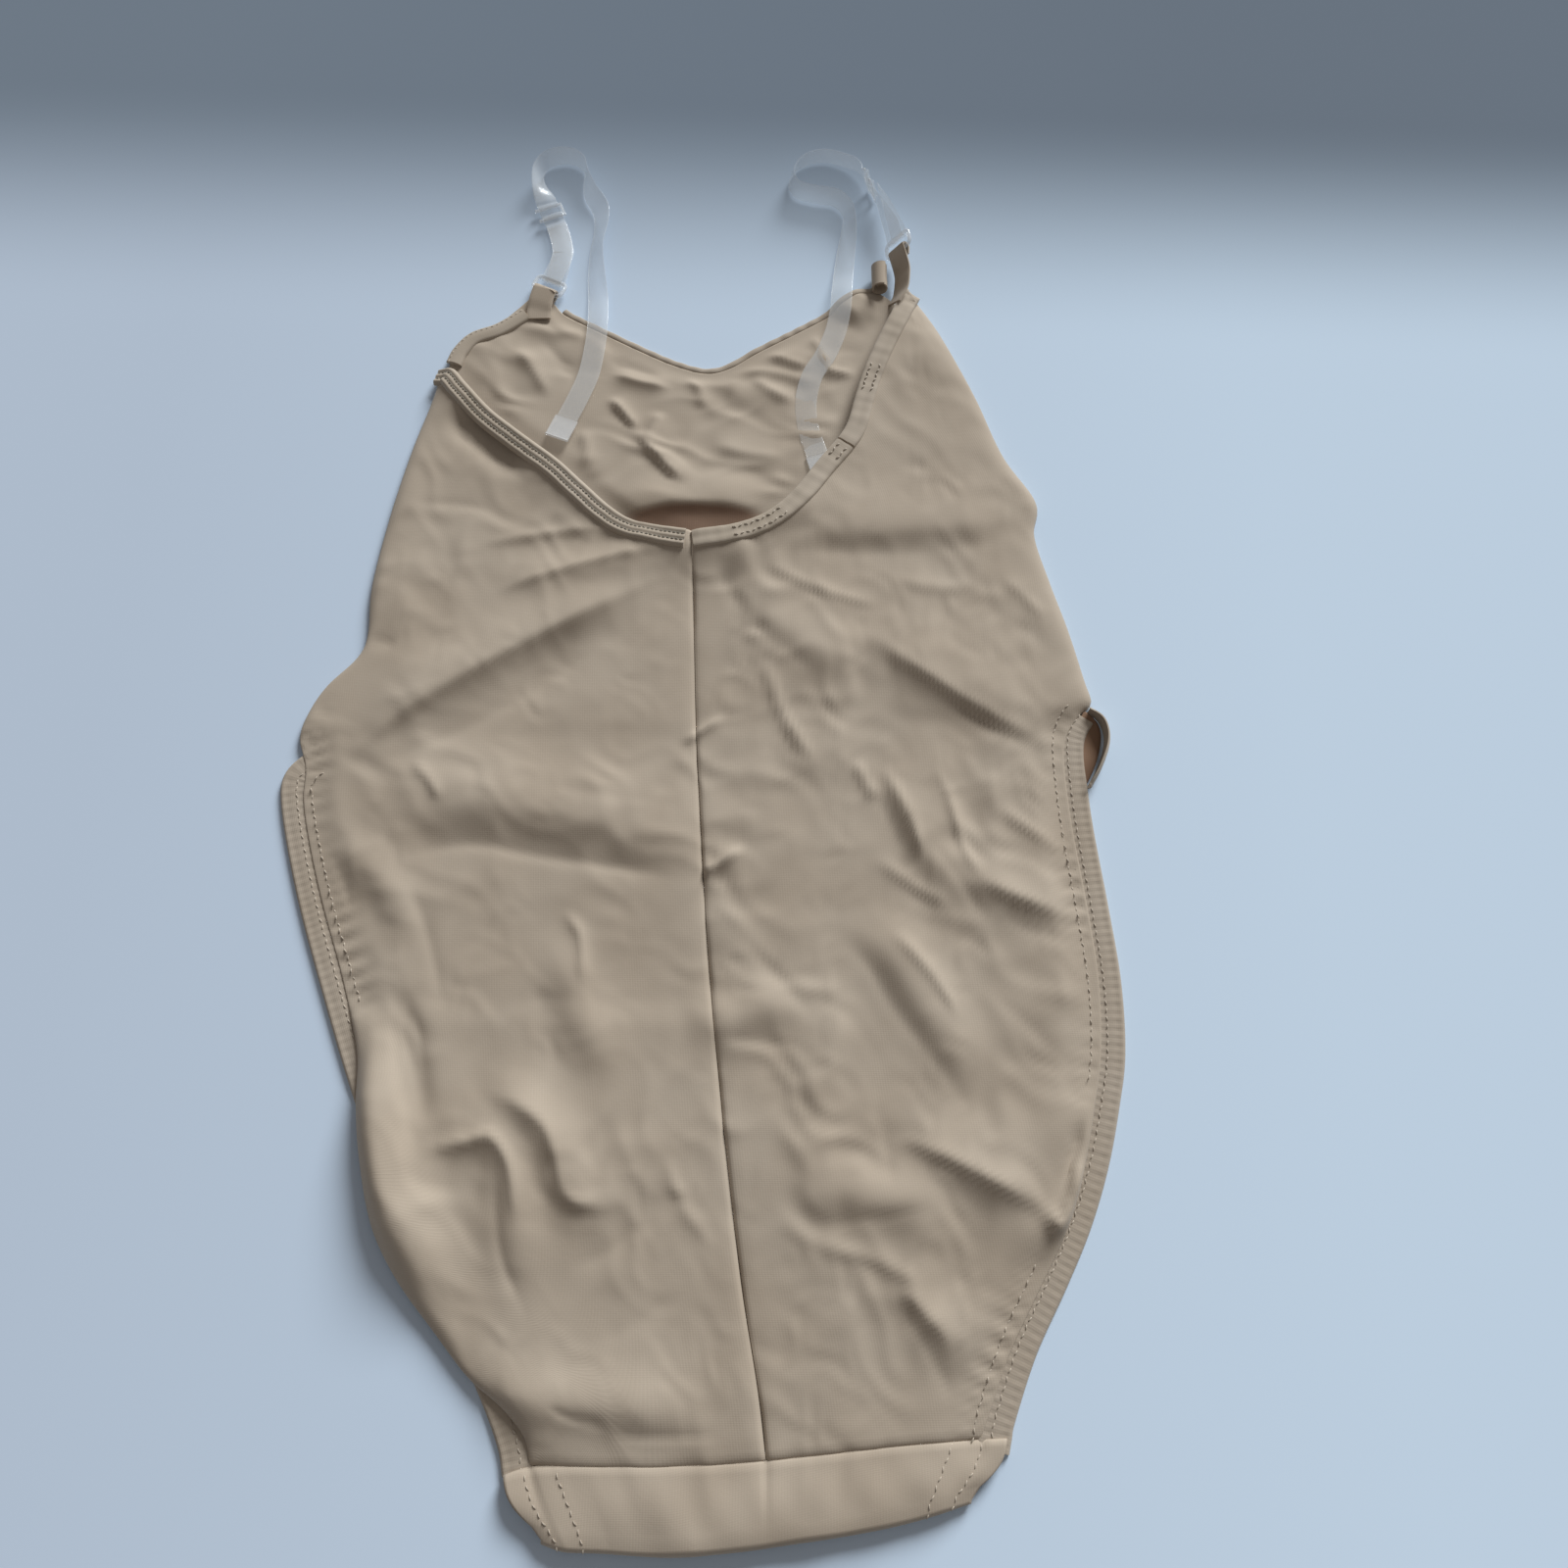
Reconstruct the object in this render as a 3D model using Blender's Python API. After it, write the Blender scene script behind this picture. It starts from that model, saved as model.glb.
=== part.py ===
"""A camisole leotard laid flat with its back up, in metres, +Z up.

X runs across the laid garment, Y from the crotch fold to the straps, and Z is 0 under the cloth.
The tables are in centimetres across the surface, from the crotch fold, with heights in millimetres."""

import math

import bmesh
import bpy
import numpy as np
from mathutils import Matrix

CM = 0.01
MM = 0.001

# The middle of the laid garment in the tables' centimetres, which becomes the origin
MIDDLE_X = -3.541
MIDDLE_Y = 30.038

# Cloth and elastic, in millimetres
WALL = 1.2
BAND_WALL = 1.4
GAP = 0.4
CLEAR_OF_FRONT = WALL + GAP
CLEAR_OF_BAND = BAND_WALL + 0.5
RIM_ROUND = 0.45
LOFT = 1.4
BAND_WIDTH = 1.1
FRONT_BAND_WIDTH = 1.0
LOOP_WIDTH = 0.8
# From the front panel's edge to the middle of its leg band
FRONT_BAND_SHIFT = 0.54
SCOOP_ROWS = (0.0, 0.22, 0.45, 0.68, 0.9)
SCOOP_RIBS = (0.0, 0.35, 0.0, 0.35, 0.0)
STRAP_WIDTH = 1.0
STRAP_WALL = 0.6
TAB_WIDTH = 1.15
TAB_WALL = 1.0
# Room between two panels at a seam, in centimetres
SEAM_GAP = 0.035
# Where each leg band ends on its side, in table centimetres, and how fast the cloth swells from the band
LEFT_LEG_TOP, LEFT_LEG_ROUND = 28.6, 0.9
RIGHT_LEG_TOP, RIGHT_LEG_ROUND = 29.3, 0.5
SIDE_ROUND = 1.3

# Outlines: x, y
LEFT_LEG = [(-8.4, 2.6), (-8.6, 3.4), (-9.6, 4.3), (-10.8, 5.2), (-12.1, 6.6), (-13.6, 8.3),
            (-14.7, 10.1), (-15.4, 12.4), (-15.75, 14.3), (-15.9, 15.9), (-16.3, 17.3),
            (-17.0, 19.3), (-18.0, 21.8), (-18.8, 24.1), (-19.35, 26.1), (-19.45, 27.5)]
LEFT_SIDE = [(-19.45, 27.5), (-19.9, 28.9), (-19.7, 30.0), (-19.1, 31.2), (-18.0, 32.5), (-17.7, 33.6),
             (-17.8, 35.9), (-17.4, 39.5), (-16.8, 42.9), (-16.2, 45.4), (-15.9, 47.2)]
LEFT_SCOOP = [(-15.9, 47.2), (-15.2, 47.0), (-14.5, 46.1), (-13.3, 44.7), (-12.2, 43.7), (-11.1, 42.8),
              (-9.9, 41.8), (-8.8, 40.7), (-7.6, 39.5), (-6.6, 38.8), (-5.4, 38.5), (-4.0, 38.3)]
BACK_SEAM = [(-0.6, 2.7), (-0.9, 4.9), (-1.5, 8.2), (-2.1, 12.6), (-2.6, 16.8), (-3.0, 20.8),
             (-3.3, 24.8), (-3.6, 29.0), (-3.8, 33.3), (-4.0, 38.3)]
GUSSET_LEFT = [(-8.4, 2.6), (-4.8, 2.5), (-2.7, 2.55), (-0.6, 2.7)]
GUSSET_RIGHT = [(-0.6, 2.7), (2.5, 3.0), (4.6, 3.2), (6.6, 3.3)]
RIGHT_LEG = [(6.6, 3.3), (7.0, 4.2), (7.8, 6.0), (8.9, 7.9), (10.0, 9.8), (10.8, 11.8), (11.4, 14.0),
             (11.85, 16.2), (12.0, 19.0), (11.8, 22.0), (11.5, 25.0), (11.4, 27.6)]
RIGHT_SIDE = [(11.4, 27.6), (11.6, 28.9), (12.3, 29.9), (12.8, 30.4), (12.6, 31.4), (12.1, 33.8), (11.5, 36.1), (11.0, 38.4),
              (11.2, 40.1), (9.9, 42.5), (8.9, 45.5), (8.0, 47.8), (7.2, 49.6), (6.3, 51.2)]
RIGHT_SCOOP = [(-4.0, 38.3), (-2.2, 38.6), (-0.8, 39.2), (0.4, 40.3), (1.5, 41.9), (2.7, 43.6),
               (3.2, 45.3), (3.6, 46.7), (4.2, 48.3), (4.9, 49.9), (5.7, 51.6), (6.3, 51.2)]
FRONT_LEFT = [(-6.4, 3.0), (-8.0, 6.0), (-10.2, 10.0), (-12.6, 15.0), (-15.0, 20.0), (-17.2, 25.2),
              (-18.9, 29.3), (-18.4, 31.0), (-17.4, 32.6), (-17.2, 35.9), (-16.9, 39.5), (-16.3, 42.9),
              (-15.7, 45.6), (-15.6, 47.3), (-15.4, 48.5), (-14.7, 49.4), (-13.6, 49.9), (-12.6, 50.7),
              (-11.9, 50.9)]
FRONT_NECK = [(-11.9, 50.9), (-10.7, 50.1), (-9.9, 49.8), (-8.6, 49.4), (-6.6, 48.3), (-5.0, 47.5),
              (-3.6, 47.1), (-2.5, 47.4), (-1.2, 48.3), (0.6, 49.4), (2.0, 50.3), (3.1, 51.2), (4.4, 51.9)]
FRONT_RIGHT = [(4.8, 3.0), (5.8, 6.0), (7.4, 10.0), (8.8, 15.0), (9.5, 20.0), (9.7, 25.0),
               (10.6, 28.4), (11.8, 30.6), (12.0, 31.4), (11.5, 33.8), (10.9, 36.1), (10.4, 38.4), (10.6, 39.9),
               (9.3, 42.3), (8.3, 45.3), (7.4, 47.5), (6.6, 49.3), (5.6, 50.8), (4.4, 51.9)]
FRONT_CROTCH = [(-6.4, 3.0), (-0.8, 3.1), (4.8, 3.0)]
# The bands' own middle lines: x, y
LEFT_LEG_BAND = [(-19.15, 27.8), (-19.75, 27.1), (-19.7, 26.1), (-19.1, 24.0), (-18.3, 21.7), (-17.3, 19.2),
                 (-16.1, 16.1), (-15.3, 13.9), (-14.3, 11.6), (-12.8, 8.8), (-11.4, 6.6), (-10.3, 4.8),
                 (-9.4, 3.1), (-8.9, 2.0), (-8.4, 1.3), (-7.9, 0.85)]
RIGHT_LEG_BAND = [(5.7, 1.6), (6.4, 2.1), (6.9, 3.0), (7.2, 4.1), (8.2, 6.2), (9.4, 8.3), (10.4, 10.2),
                  (11.2, 12.2), (11.8, 14.3), (12.2, 16.2), (12.3, 18.8), (12.1, 21.6), (11.8, 24.8),
                  (11.7, 26.8), (11.7, 28.6)]

# Creases of the back: height in mm, near and far half-widths in cm, then the line that each follows, x, y
BACK_CREASES = [
    (3.6, 0.6, 2.0, [(-0.6, 38.3), (2.6, 38.5), (6.7, 38.6), (10.6, 39.2)]),
    (3.4, 1.0, 1.6, [(-4.4, 36.6), (-7.4, 35.2), (-12.2, 32.4), (-16.1, 30.0), (-18.6, 28.4)]),
    (2.2, 0.9, 0.9, [(-5.0, 37.5), (-8.5, 36.6), (-13.0, 35.9)]),
    (3.2, 1.1, 2.0, [(-17.0, 25.4), (-12.5, 25.9), (-9.5, 25.5), (-5.0, 24.8), (-2.0, 24.9)]),
    (3.0, 0.8, 1.2, [(-2.2, 36.0), (0.0, 33.6), (1.8, 32.4), (3.6, 31.2)]),
    (3.6, 1.0, 1.4, [(2.6, 34.4), (6.0, 32.0), (8.4, 30.6), (10.8, 29.2)]),
    (2.4, 0.5, 0.7, [(3.9, 27.6), (5.2, 25.2), (6.0, 23.6), (7.6, 21.4)]),
    (2.6, 0.7, 0.8, [(6.9, 23.4), (9.0, 22.4), (11.2, 21.9)]),
    (3.6, 0.5, 1.3, [(2.2, 21.6), (4.0, 20.0), (5.2, 17.9), (6.6, 15.6), (7.8, 14.0)]),
    (-1.6, 0.5, 0.5, [(1.8, 20.6), (3.3, 19.2), (4.3, 17.6), (5.6, 15.8), (7.0, 13.8)]),
    (3.0, 0.7, 1.0, [(4.2, 13.6), (6.6, 12.2), (9.2, 10.8)]),
    (3.4, 0.5, 0.5, [(9.2, 10.8), (9.9, 10.2), (10.5, 10.9), (10.7, 12.6)]),
    (2.6, 0.9, 1.1, [(0.6, 11.4), (3.6, 10.9), (6.4, 10.4)]),
    (2.4, 0.6, 0.8, [(3.9, 8.6), (5.2, 7.0), (6.2, 5.0)]),
    (2.2, 0.8, 1.0, [(-3.8, 16.8), (-1.4, 17.6), (1.2, 18.2)]),
    (5.2, 1.0, 1.2, [(-15.2, 17.2), (-15.0, 15.2), (-14.8, 13.2), (-14.0, 11.0), (-12.8, 9.0), (-11.2, 7.0)]),
    (-1.8, 0.5, 0.5, [(-14.6, 18.6), (-13.9, 16.6), (-13.4, 14.6), (-13.0, 12.8)]),
    (3.2, 0.5, 0.6, [(-13.4, 12.9), (-11.6, 13.2), (-10.4, 12.8), (-9.9, 11.2), (-9.6, 9.0), (-8.8, 7.2)]),
    (2.6, 0.8, 0.9, [(-11.6, 15.2), (-9.7, 14.4), (-8.3, 13.0), (-7.2, 11.4), (-5.2, 11.2)]),
    (2.4, 0.8, 1.0, [(-11.0, 5.6), (-8.6, 4.6), (-5.8, 4.4), (-2.0, 4.2)]),
    (2.0, 0.7, 0.8, [(-17.6, 24.6), (-15.6, 22.6), (-14.2, 20.0)]),
    (2.0, 0.9, 0.9, [(-9.0, 21.0), (-7.6, 17.6), (-6.2, 14.6)]),
]
# Creases of the front's inner face, in the same columns
FRONT_CREASES = [
    (4.6, 0.45, 1.3, [(-7.4, 39.9), (-5.8, 40.3), (-3.7, 40.5), (-1.5, 40.3), (-0.6, 40.1)]),
    (1.6, 0.3, 0.6, [(-6.7, 43.8), (-5.5, 42.4), (-4.4, 41.0)]),
    (1.5, 0.5, 0.6, [(-8.0, 47.0), (-6.2, 46.6), (-4.4, 46.4)]),
    (1.5, 0.5, 0.6, [(-1.5, 47.6), (0.5, 47.0), (2.2, 46.6)]),
    (4.0, 0.9, 0.9, [(2.6, 50.0), (3.4, 51.0), (4.0, 52.0)]),
]
# How far the scoop's edge stands off the front: share of its length from the side, mm
LEFT_SCOOP_LIFT = [(0.0, 1.0), (0.15, 3.2), (0.35, 4.6), (0.6, 3.2), (0.8, 3.8), (1.0, 4.6)]
RIGHT_SCOOP_LIFT = [(0.0, 4.6), (0.15, 4.0), (0.35, 3.2), (0.6, 2.8), (0.85, 2.8), (1.0, 0.6)]
SCOOP_REACH = 1.7
GUSSET_COLUMNS = 22
HOLLOW = (-4.2, 0.75, 0.75, [(-15.4, 45.2), (-14.1, 43.9), (-12.6, 42.6), (-10.9, 41.3)])


def resample(line, count):
    """Points at even steps along a line of x and y in cm, and of z in mm where it has one."""
    weights = np.array([10, 10, 1, 0])[:line.shape[1]]
    steps = np.linalg.norm(np.diff(line, axis=0) * weights, axis=1)
    run = np.concatenate([[0], np.cumsum(steps)])
    places = np.linspace(0, run[-1], count)
    return np.stack([np.interp(places, run, line[:, k]) for k in range(line.shape[1])], axis=-1)


def smooth(points, count=120):
    """A Catmull-Rom curve through the points, as evenly spaced points."""
    p = np.array(points, float)
    p = np.vstack([2 * p[0] - p[1], p, 2 * p[-1] - p[-2]])
    t = np.linspace(0, 1, 12, endpoint=False)[:, None]
    runs = []
    for a, b, c, d in zip(p, p[1:], p[2:], p[3:]):
        rise = (c - a) * t + (2 * a - 5 * b + 4 * c - d) * t**2 + (3 * b - a - 3 * c + d) * t**3
        runs.append(b + 0.5 * rise)
    return resample(np.vstack(runs + [p[-2:-1]]), count)


def along(line, share):
    """The points of an evenly spaced line at these shares of its length."""
    place = np.asarray(share) * (len(line) - 1)
    steps = np.arange(len(line))
    return np.stack([np.interp(place, steps, line[:, k]) for k in range(line.shape[1])], axis=-1)


def nearest(points, line):
    """Distance to a line, signed positive on its left, and the share of its length reached there."""
    shape = points.shape[:-1]
    p = points.reshape(-1, 1, 2)
    start, run = line[:-1], np.diff(line, axis=0)
    share = np.clip(((p - start) * run).sum(-1) / (run * run).sum(-1), 0, 1)
    away = p - (start + share[..., None] * run)
    length = np.linalg.norm(away, axis=-1)
    best = length.argmin(axis=1)
    rows = np.arange(len(p))
    away, run = away[rows, best], run[best]
    sign = np.sign(run[:, 0] * away[:, 1] - run[:, 1] * away[:, 0])
    place = (best + share[rows, best]) / len(start)
    return (sign * length[rows, best]).reshape(shape), place.reshape(shape)


def quarter(share):
    """Rises from 0 to 1 as a quarter circle."""
    share = np.clip(share, 0, 1)
    return np.sqrt(1 - (1 - share) ** 2)


def ease(share):
    """Rises smoothly from 0 to 1."""
    share = np.clip(share, 0, 1)
    return share * share * (3 - 2 * share)


def crease(points, row):
    """One soft ridge, or a trough where its height is below 0, which fades out at both its ends."""
    height, near, far, line = row
    away, place = nearest(points, smooth(line, 40))
    width = np.where(away > 0, far if line[0][0] < line[-1][0] else near,
                     near if line[0][0] < line[-1][0] else far)
    return height * np.exp(-((away / width) ** 2)) * ease(place / 0.2) * ease((1 - place) / 0.2)


def coons(bottom, top, left, right, u, v):
    """A patch between four lines, at the shares u across and v up."""
    u, v = np.asarray(u)[..., None], np.asarray(v)[..., None]
    across = (1 - v) * along(bottom, u[..., 0]) + v * along(top, u[..., 0])
    up = (1 - u) * along(left, v[..., 0]) + u * along(right, v[..., 0])
    corners = ((1 - u) * (1 - v) * bottom[0] + u * (1 - v) * bottom[-1]
               + (1 - u) * v * top[0] + u * v * top[-1])
    return across + up - corners


def spaced(length, near, far, count):
    """Shares of a length with close steps at both ends and even ones between."""
    inner = np.linspace(near[-1], length - far[-1], count + 2)[1:-1]
    return np.concatenate([near, inner, length - np.array(far)[::-1]]) / length


def panel_grid(bottom, top, left, right, near, far, low, high, across, up):
    """Points of a panel, with rows at the distances low and high from its ends, and columns likewise."""
    columns = len(near) + across + len(far)
    rows = len(low) + up + len(high)
    u = np.linspace(0, 1, columns)[:, None] * np.ones(rows)
    v = np.linspace(0, 1, rows)[None, :] * np.ones((columns, 1))
    for _ in range(3):
        ends = coons(bottom, top, left, right, np.stack([0 * v[0], 0 * v[0] + 1]), np.stack([v[0], v[0]]))
        widths = np.linalg.norm(ends[1] - ends[0], axis=-1)
        u = np.stack([spaced(max(w, 1.0), near, far, across) for w in widths], axis=1)
        line = u[:, rows // 2]
        feet = coons(bottom, top, left, right, line, 0 * line)
        heads = coons(bottom, top, left, right, line, 0 * line + 1)
        below = coons(bottom, top, left, right, line, 0 * line + 0.97)
        edge = np.gradient(heads, axis=0)
        rise = heads - below
        sine = np.abs(edge[:, 0] * rise[:, 1] - edge[:, 1] * rise[:, 0])
        sine = sine / np.linalg.norm(edge, axis=1) / np.linalg.norm(rise, axis=1)
        heights = np.linalg.norm(heads - feet, axis=-1)
        stretch = 1 / np.clip(sine, 0.5, 1)
        v = np.stack([spaced(h, low, tuple(np.array(high) * s), up) for h, s in zip(heights, stretch)])
    return coons(bottom, top, left, right, u, v)


def place(points):
    """Table centimetres and millimetres of height to metres about the origin."""
    points = np.asarray(points, float)
    return np.stack([(points[..., 0] - MIDDLE_X) * CM, (points[..., 1] - MIDDLE_Y) * CM,
                     points[..., 2] * MM], axis=-1)


def raised(xy, z):
    """Points of x and y with their heights added."""
    return np.concatenate([xy, z[..., None]], axis=-1)


def sheet(name, under, over, colour):
    """A closed wall between two grids of points that share their rows and columns."""
    columns, rows = under.shape[:2]
    mesh = bmesh.new()
    low = [[mesh.verts.new(p) for p in row] for row in place(under)]
    high = [[mesh.verts.new(p) for p in row] for row in place(over)]
    for i in range(columns - 1):
        for j in range(rows - 1):
            mesh.faces.new([low[i][j], low[i][j + 1], low[i + 1][j + 1], low[i + 1][j]])
            mesh.faces.new([high[i][j], high[i + 1][j], high[i + 1][j + 1], high[i][j + 1]])
    rim = ([(i, 0) for i in range(columns)] + [(columns - 1, j) for j in range(1, rows)]
           + [(i, rows - 1) for i in range(columns - 2, -1, -1)] + [(0, j) for j in range(rows - 2, 0, -1)])
    for (a, b), (c, d) in zip(rim, rim[1:] + rim[:1]):
        mesh.faces.new([low[a][b], low[c][d], high[c][d], high[a][b]])
    return finish(name, mesh, colour)


def ribbon(name, middle, side, width, wall, colour):
    """A flat strip swept along a line of points in table units; side is the way across it at each point."""
    metres = place(middle)
    tangent = np.gradient(metres, axis=0)
    tangent /= np.linalg.norm(tangent, axis=1)[:, None]
    side = side - (side * tangent).sum(1)[:, None] * tangent
    side /= np.linalg.norm(side, axis=1)[:, None]
    up = np.cross(side, tangent)
    reach, rise = side * width * CM / 2, up * wall * MM / 2
    corners = [metres - reach - rise, metres + reach - rise, metres + reach + rise, metres - reach + rise]
    mesh = bmesh.new()
    rings = [[mesh.verts.new(corner[i]) for corner in corners] for i in range(len(metres))]
    for first, second in zip(rings, rings[1:]):
        for k in range(4):
            a, b, c, d = first[k], first[(k + 1) % 4], second[(k + 1) % 4], second[k]
            split = [[a, b, c], [a, c, d]] if k < 2 else [[a, b, d], [b, c, d]]
            for corners_of_half in split:
                mesh.faces.new(corners_of_half)
    mesh.faces.new(rings[0])
    mesh.faces.new(rings[-1])
    return finish(name, mesh, colour)


def finish(name, mesh, colour):
    """The object of a finished mesh, its faces pointing out, with its material."""
    bmesh.ops.recalc_face_normals(mesh, faces=mesh.faces)
    if mesh.calc_volume(signed=True) < 0:
        bmesh.ops.reverse_faces(mesh, faces=mesh.faces)
    data = bpy.data.meshes.new(name)
    mesh.to_mesh(data)
    mesh.free()
    data.shade_smooth()
    data.set_sharp_from_angle(angle=math.radians(50))
    obj = bpy.data.objects.new(name, data)
    bpy.data.collections["camisole_leotard"].objects.link(obj)
    data.materials.append(material(*colour))
    return obj


def material(name, colour, roughness, alpha=1.0):
    """A plain finish, made once for each name."""
    found = bpy.data.materials.get(name)
    if found:
        return found
    made = bpy.data.materials.new(name)
    made.use_nodes = True
    shader = made.node_tree.nodes["Principled BSDF"]
    shader.inputs["Base Color"].default_value = (*colour, 1)
    shader.inputs["Roughness"].default_value = roughness
    shader.inputs["Alpha"].default_value = alpha
    return made


JERSEY = ("beige_jersey", (0.50, 0.40, 0.28), 0.85)
ELASTIC = ("beige_elastic", (0.45, 0.38, 0.28), 0.8)
CLEAR = ("clear_plastic", (0.8, 0.84, 0.86), 0.2, 0.4)


def side_lines(leg, side):
    """The whole outer line of a back panel, from the gusset up to the scoop."""
    return smooth(leg + side[1:], 240)


def back_height(xy, outer, leg_top, leg_round, scoop, lifts, dips):
    """The underside of a back panel, in millimetres over the surface."""
    edge, _ = nearest(xy, outer)
    edge = np.abs(edge)
    on_side = ease((xy[..., 1] - leg_top) / 1.0)
    seat = (1 - on_side) * CLEAR_OF_BAND + on_side * CLEAR_OF_FRONT * quarter(edge / RIM_ROUND)
    body = LOFT + sum(crease(xy, row) for row in BACK_CREASES + dips)
    away, share = nearest(xy, scoop)
    lift = np.interp(share, *zip(*lifts)) * np.exp(-((away / SCOOP_REACH) ** 2))
    fade = quarter(edge / ((1 - on_side) * leg_round + on_side * SIDE_ROUND))
    seam, _ = nearest(xy, smooth(BACK_SEAM, 60))
    groove = 0.6 * np.exp(-((seam / 0.25) ** 2))
    return seat + fade * np.maximum(body + lift - groove, 0.0)


def left_height(xy):
    """The underside of the left back panel."""
    return back_height(xy, side_lines(LEFT_LEG, LEFT_SIDE), LEFT_LEG_TOP, LEFT_LEG_ROUND,
                       smooth(LEFT_SCOOP), LEFT_SCOOP_LIFT, [HOLLOW])


def right_height(xy):
    """The underside of the right back panel."""
    return back_height(xy, side_lines(RIGHT_LEG, RIGHT_SIDE), RIGHT_LEG_TOP, RIGHT_LEG_ROUND,
                       smooth(RIGHT_SCOOP), RIGHT_SCOOP_LIFT, [])


def front_height(xy):
    """The underside of the front panel: flat where the back covers it, and creased inside the scoop."""
    opening = np.vstack([smooth(LEFT_SCOOP)[:-1], smooth(RIGHT_SCOOP)])
    inside, _ = nearest(xy, opening)
    edge, _ = nearest(xy, smooth(FRONT_LEFT + FRONT_NECK[1:]))
    shown = ease((inside - 0.15) / 0.9) * ease((np.abs(edge) - 0.2) / 0.8)
    ridge = crease(xy, FRONT_CREASES[0]) * ease((inside - 0.1) / 0.8)
    peak = crease(xy, FRONT_CREASES[-1]) * ease((inside - 0.2) / 0.8)
    return np.maximum(ridge + peak + shown * sum(crease(xy, row) for row in FRONT_CREASES[1:-1]), 0.0)


def wall(name, xy, height, colour):
    """A cloth wall over a grid of places, from the height of its underside."""
    return sheet(name, raised(xy, height), raised(xy, height + WALL), colour)


def back_grids():
    """The grids of the two back panels, a seam gap apart."""
    near, seam = (0, 0.07, 0.2, 0.45, 0.9), (0, 0.3)
    left = panel_grid(smooth(GUSSET_LEFT), smooth(LEFT_SCOOP), side_lines(LEFT_LEG, LEFT_SIDE),
                      smooth(BACK_SEAM), near, seam, (0, 0.4), SCOOP_ROWS, 11, 26)
    gap = np.array([SEAM_GAP, 0])
    right = panel_grid(smooth(GUSSET_RIGHT) + gap, smooth(RIGHT_SCOOP) + gap,
                       smooth(BACK_SEAM) + gap, side_lines(RIGHT_LEG, RIGHT_SIDE) + gap,
                       seam, near, (0, 0.4), SCOOP_ROWS, 11, 26)
    return left, right


def scoop_band(name, xy, height):
    """An elastic band over the last rows of a back panel, level where the panel dips away under it."""
    rows = len(SCOOP_ROWS)
    top = (height + WALL)[:, -rows:]
    reach = np.array(SCOOP_ROWS[::-1])
    level = top[:, -1:] - 0.6 * reach / reach[0]
    under = np.maximum(top, level) + GAP
    over = under + BAND_WALL + np.array(SCOOP_RIBS)
    return sheet(name, raised(xy[:, -rows:], under), raised(xy[:, -rows:], over), ELASTIC)


def trimmed(xy):
    """A grid of columns whose last column is drawn back by a seam gap."""
    xy = xy.copy()
    run = xy[-2] - xy[-1]
    xy[-1] += run / np.linalg.norm(run, axis=-1)[:, None] * SEAM_GAP
    return xy


def make_panels():
    """The two back panels with the bands on their scoop, and the front panel beneath them."""
    left, right = back_grids()
    left_z, right_z = left_height(left), right_height(right)
    wall("back_left_panel", left, left_z, JERSEY)
    wall("back_right_panel", right, right_z, JERSEY)
    scoop_band("scoop_band_left", left, left_z)
    kink = int(np.abs(right[:, -1, 1] - 44.3).argmin())
    scoop_band("scoop_band_right", trimmed(right[:kink + 1]), right_z[:kink + 1])
    scoop_band("armhole_band_right", right[kink:-4], right_z[kink:-4])
    near = (0, 0.5)
    front = panel_grid(smooth(FRONT_CROTCH), smooth(FRONT_NECK), smooth(FRONT_LEFT), smooth(FRONT_RIGHT),
                       near, near, near, near, 20, 34)
    wall("front_panel", front, front_height(front), JERSEY)


def level_sides(line, turn=0.0):
    """The way across a line seen from above, turned about the line by some degrees."""
    run = np.gradient(line[:, :2], axis=0)
    run /= np.linalg.norm(run, axis=1)[:, None]
    turn = np.radians(turn) * np.ones(len(line))
    return np.stack([run[:, 1] * np.cos(turn), -run[:, 0] * np.cos(turn), np.sin(turn)], axis=-1)


def flat_band(name, line, width, thickness, z, count=48, colour=ELASTIC):
    """A band that lies flat along a line, its underside at the height z."""
    xy = smooth(line, count)
    z = np.asarray(z) * np.ones(count)
    return ribbon(name, raised(xy, z + thickness / 2), level_sides(xy), width, thickness, colour)


def offset(line, distance):
    """A line moved to its right by a distance."""
    run = np.gradient(line, axis=0)
    run /= np.linalg.norm(run, axis=1)[:, None]
    return line + distance * np.stack([run[:, 1], -run[:, 0]], axis=-1)


def make_edges():
    """The elastic bands of the leg openings and the edge of the front's neckline."""
    flat_band("leg_band_left", LEFT_LEG_BAND, BAND_WIDTH, BAND_WALL, 0.0, 64)
    flat_band("leg_band_right", RIGHT_LEG_BAND, BAND_WIDTH, BAND_WALL, 0.0, 64)
    left = smooth(FRONT_LEFT[:6], 60)
    flat_band("front_leg_band_left", offset(left, -FRONT_BAND_SHIFT), FRONT_BAND_WIDTH, WALL, 0.0, 40)
    right = smooth(FRONT_RIGHT[:6], 60)
    flat_band("front_leg_band_right", offset(right, FRONT_BAND_SHIFT), FRONT_BAND_WIDTH, WALL, 0.0, 40)
    loop = smooth([(12.35, 26.8), (12.72, 27.4), (13.1, 28.3), (13.2, 29.0), (13.05, 29.6), (12.66, 30.03)], 16)
    ribbon("front_leg_band_right_loop", raised(loop, LOOP_WIDTH * 5 + 0 * loop[:, 0]), level_sides(loop, 90),
           LOOP_WIDTH, WALL, ELASTIC)
    neck = along(smooth(FRONT_NECK, 60), np.linspace(0.1, 1, 44))
    neck_z = front_height(neck)
    neck = offset(neck, -0.21)
    ribbon("neckline_edge", raised(neck, neck_z + 0.75), level_sides(neck), 0.3, 1.5, ELASTIC)
    armhole = [(-12.35, 50.3), (-13.4, 49.5), (-14.5, 49.0), (-15.05, 48.3), (-15.15, 47.9)]
    flat_band("armhole_band_left", armhole, 0.75, BAND_WALL, WALL + GAP, 20)


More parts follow.
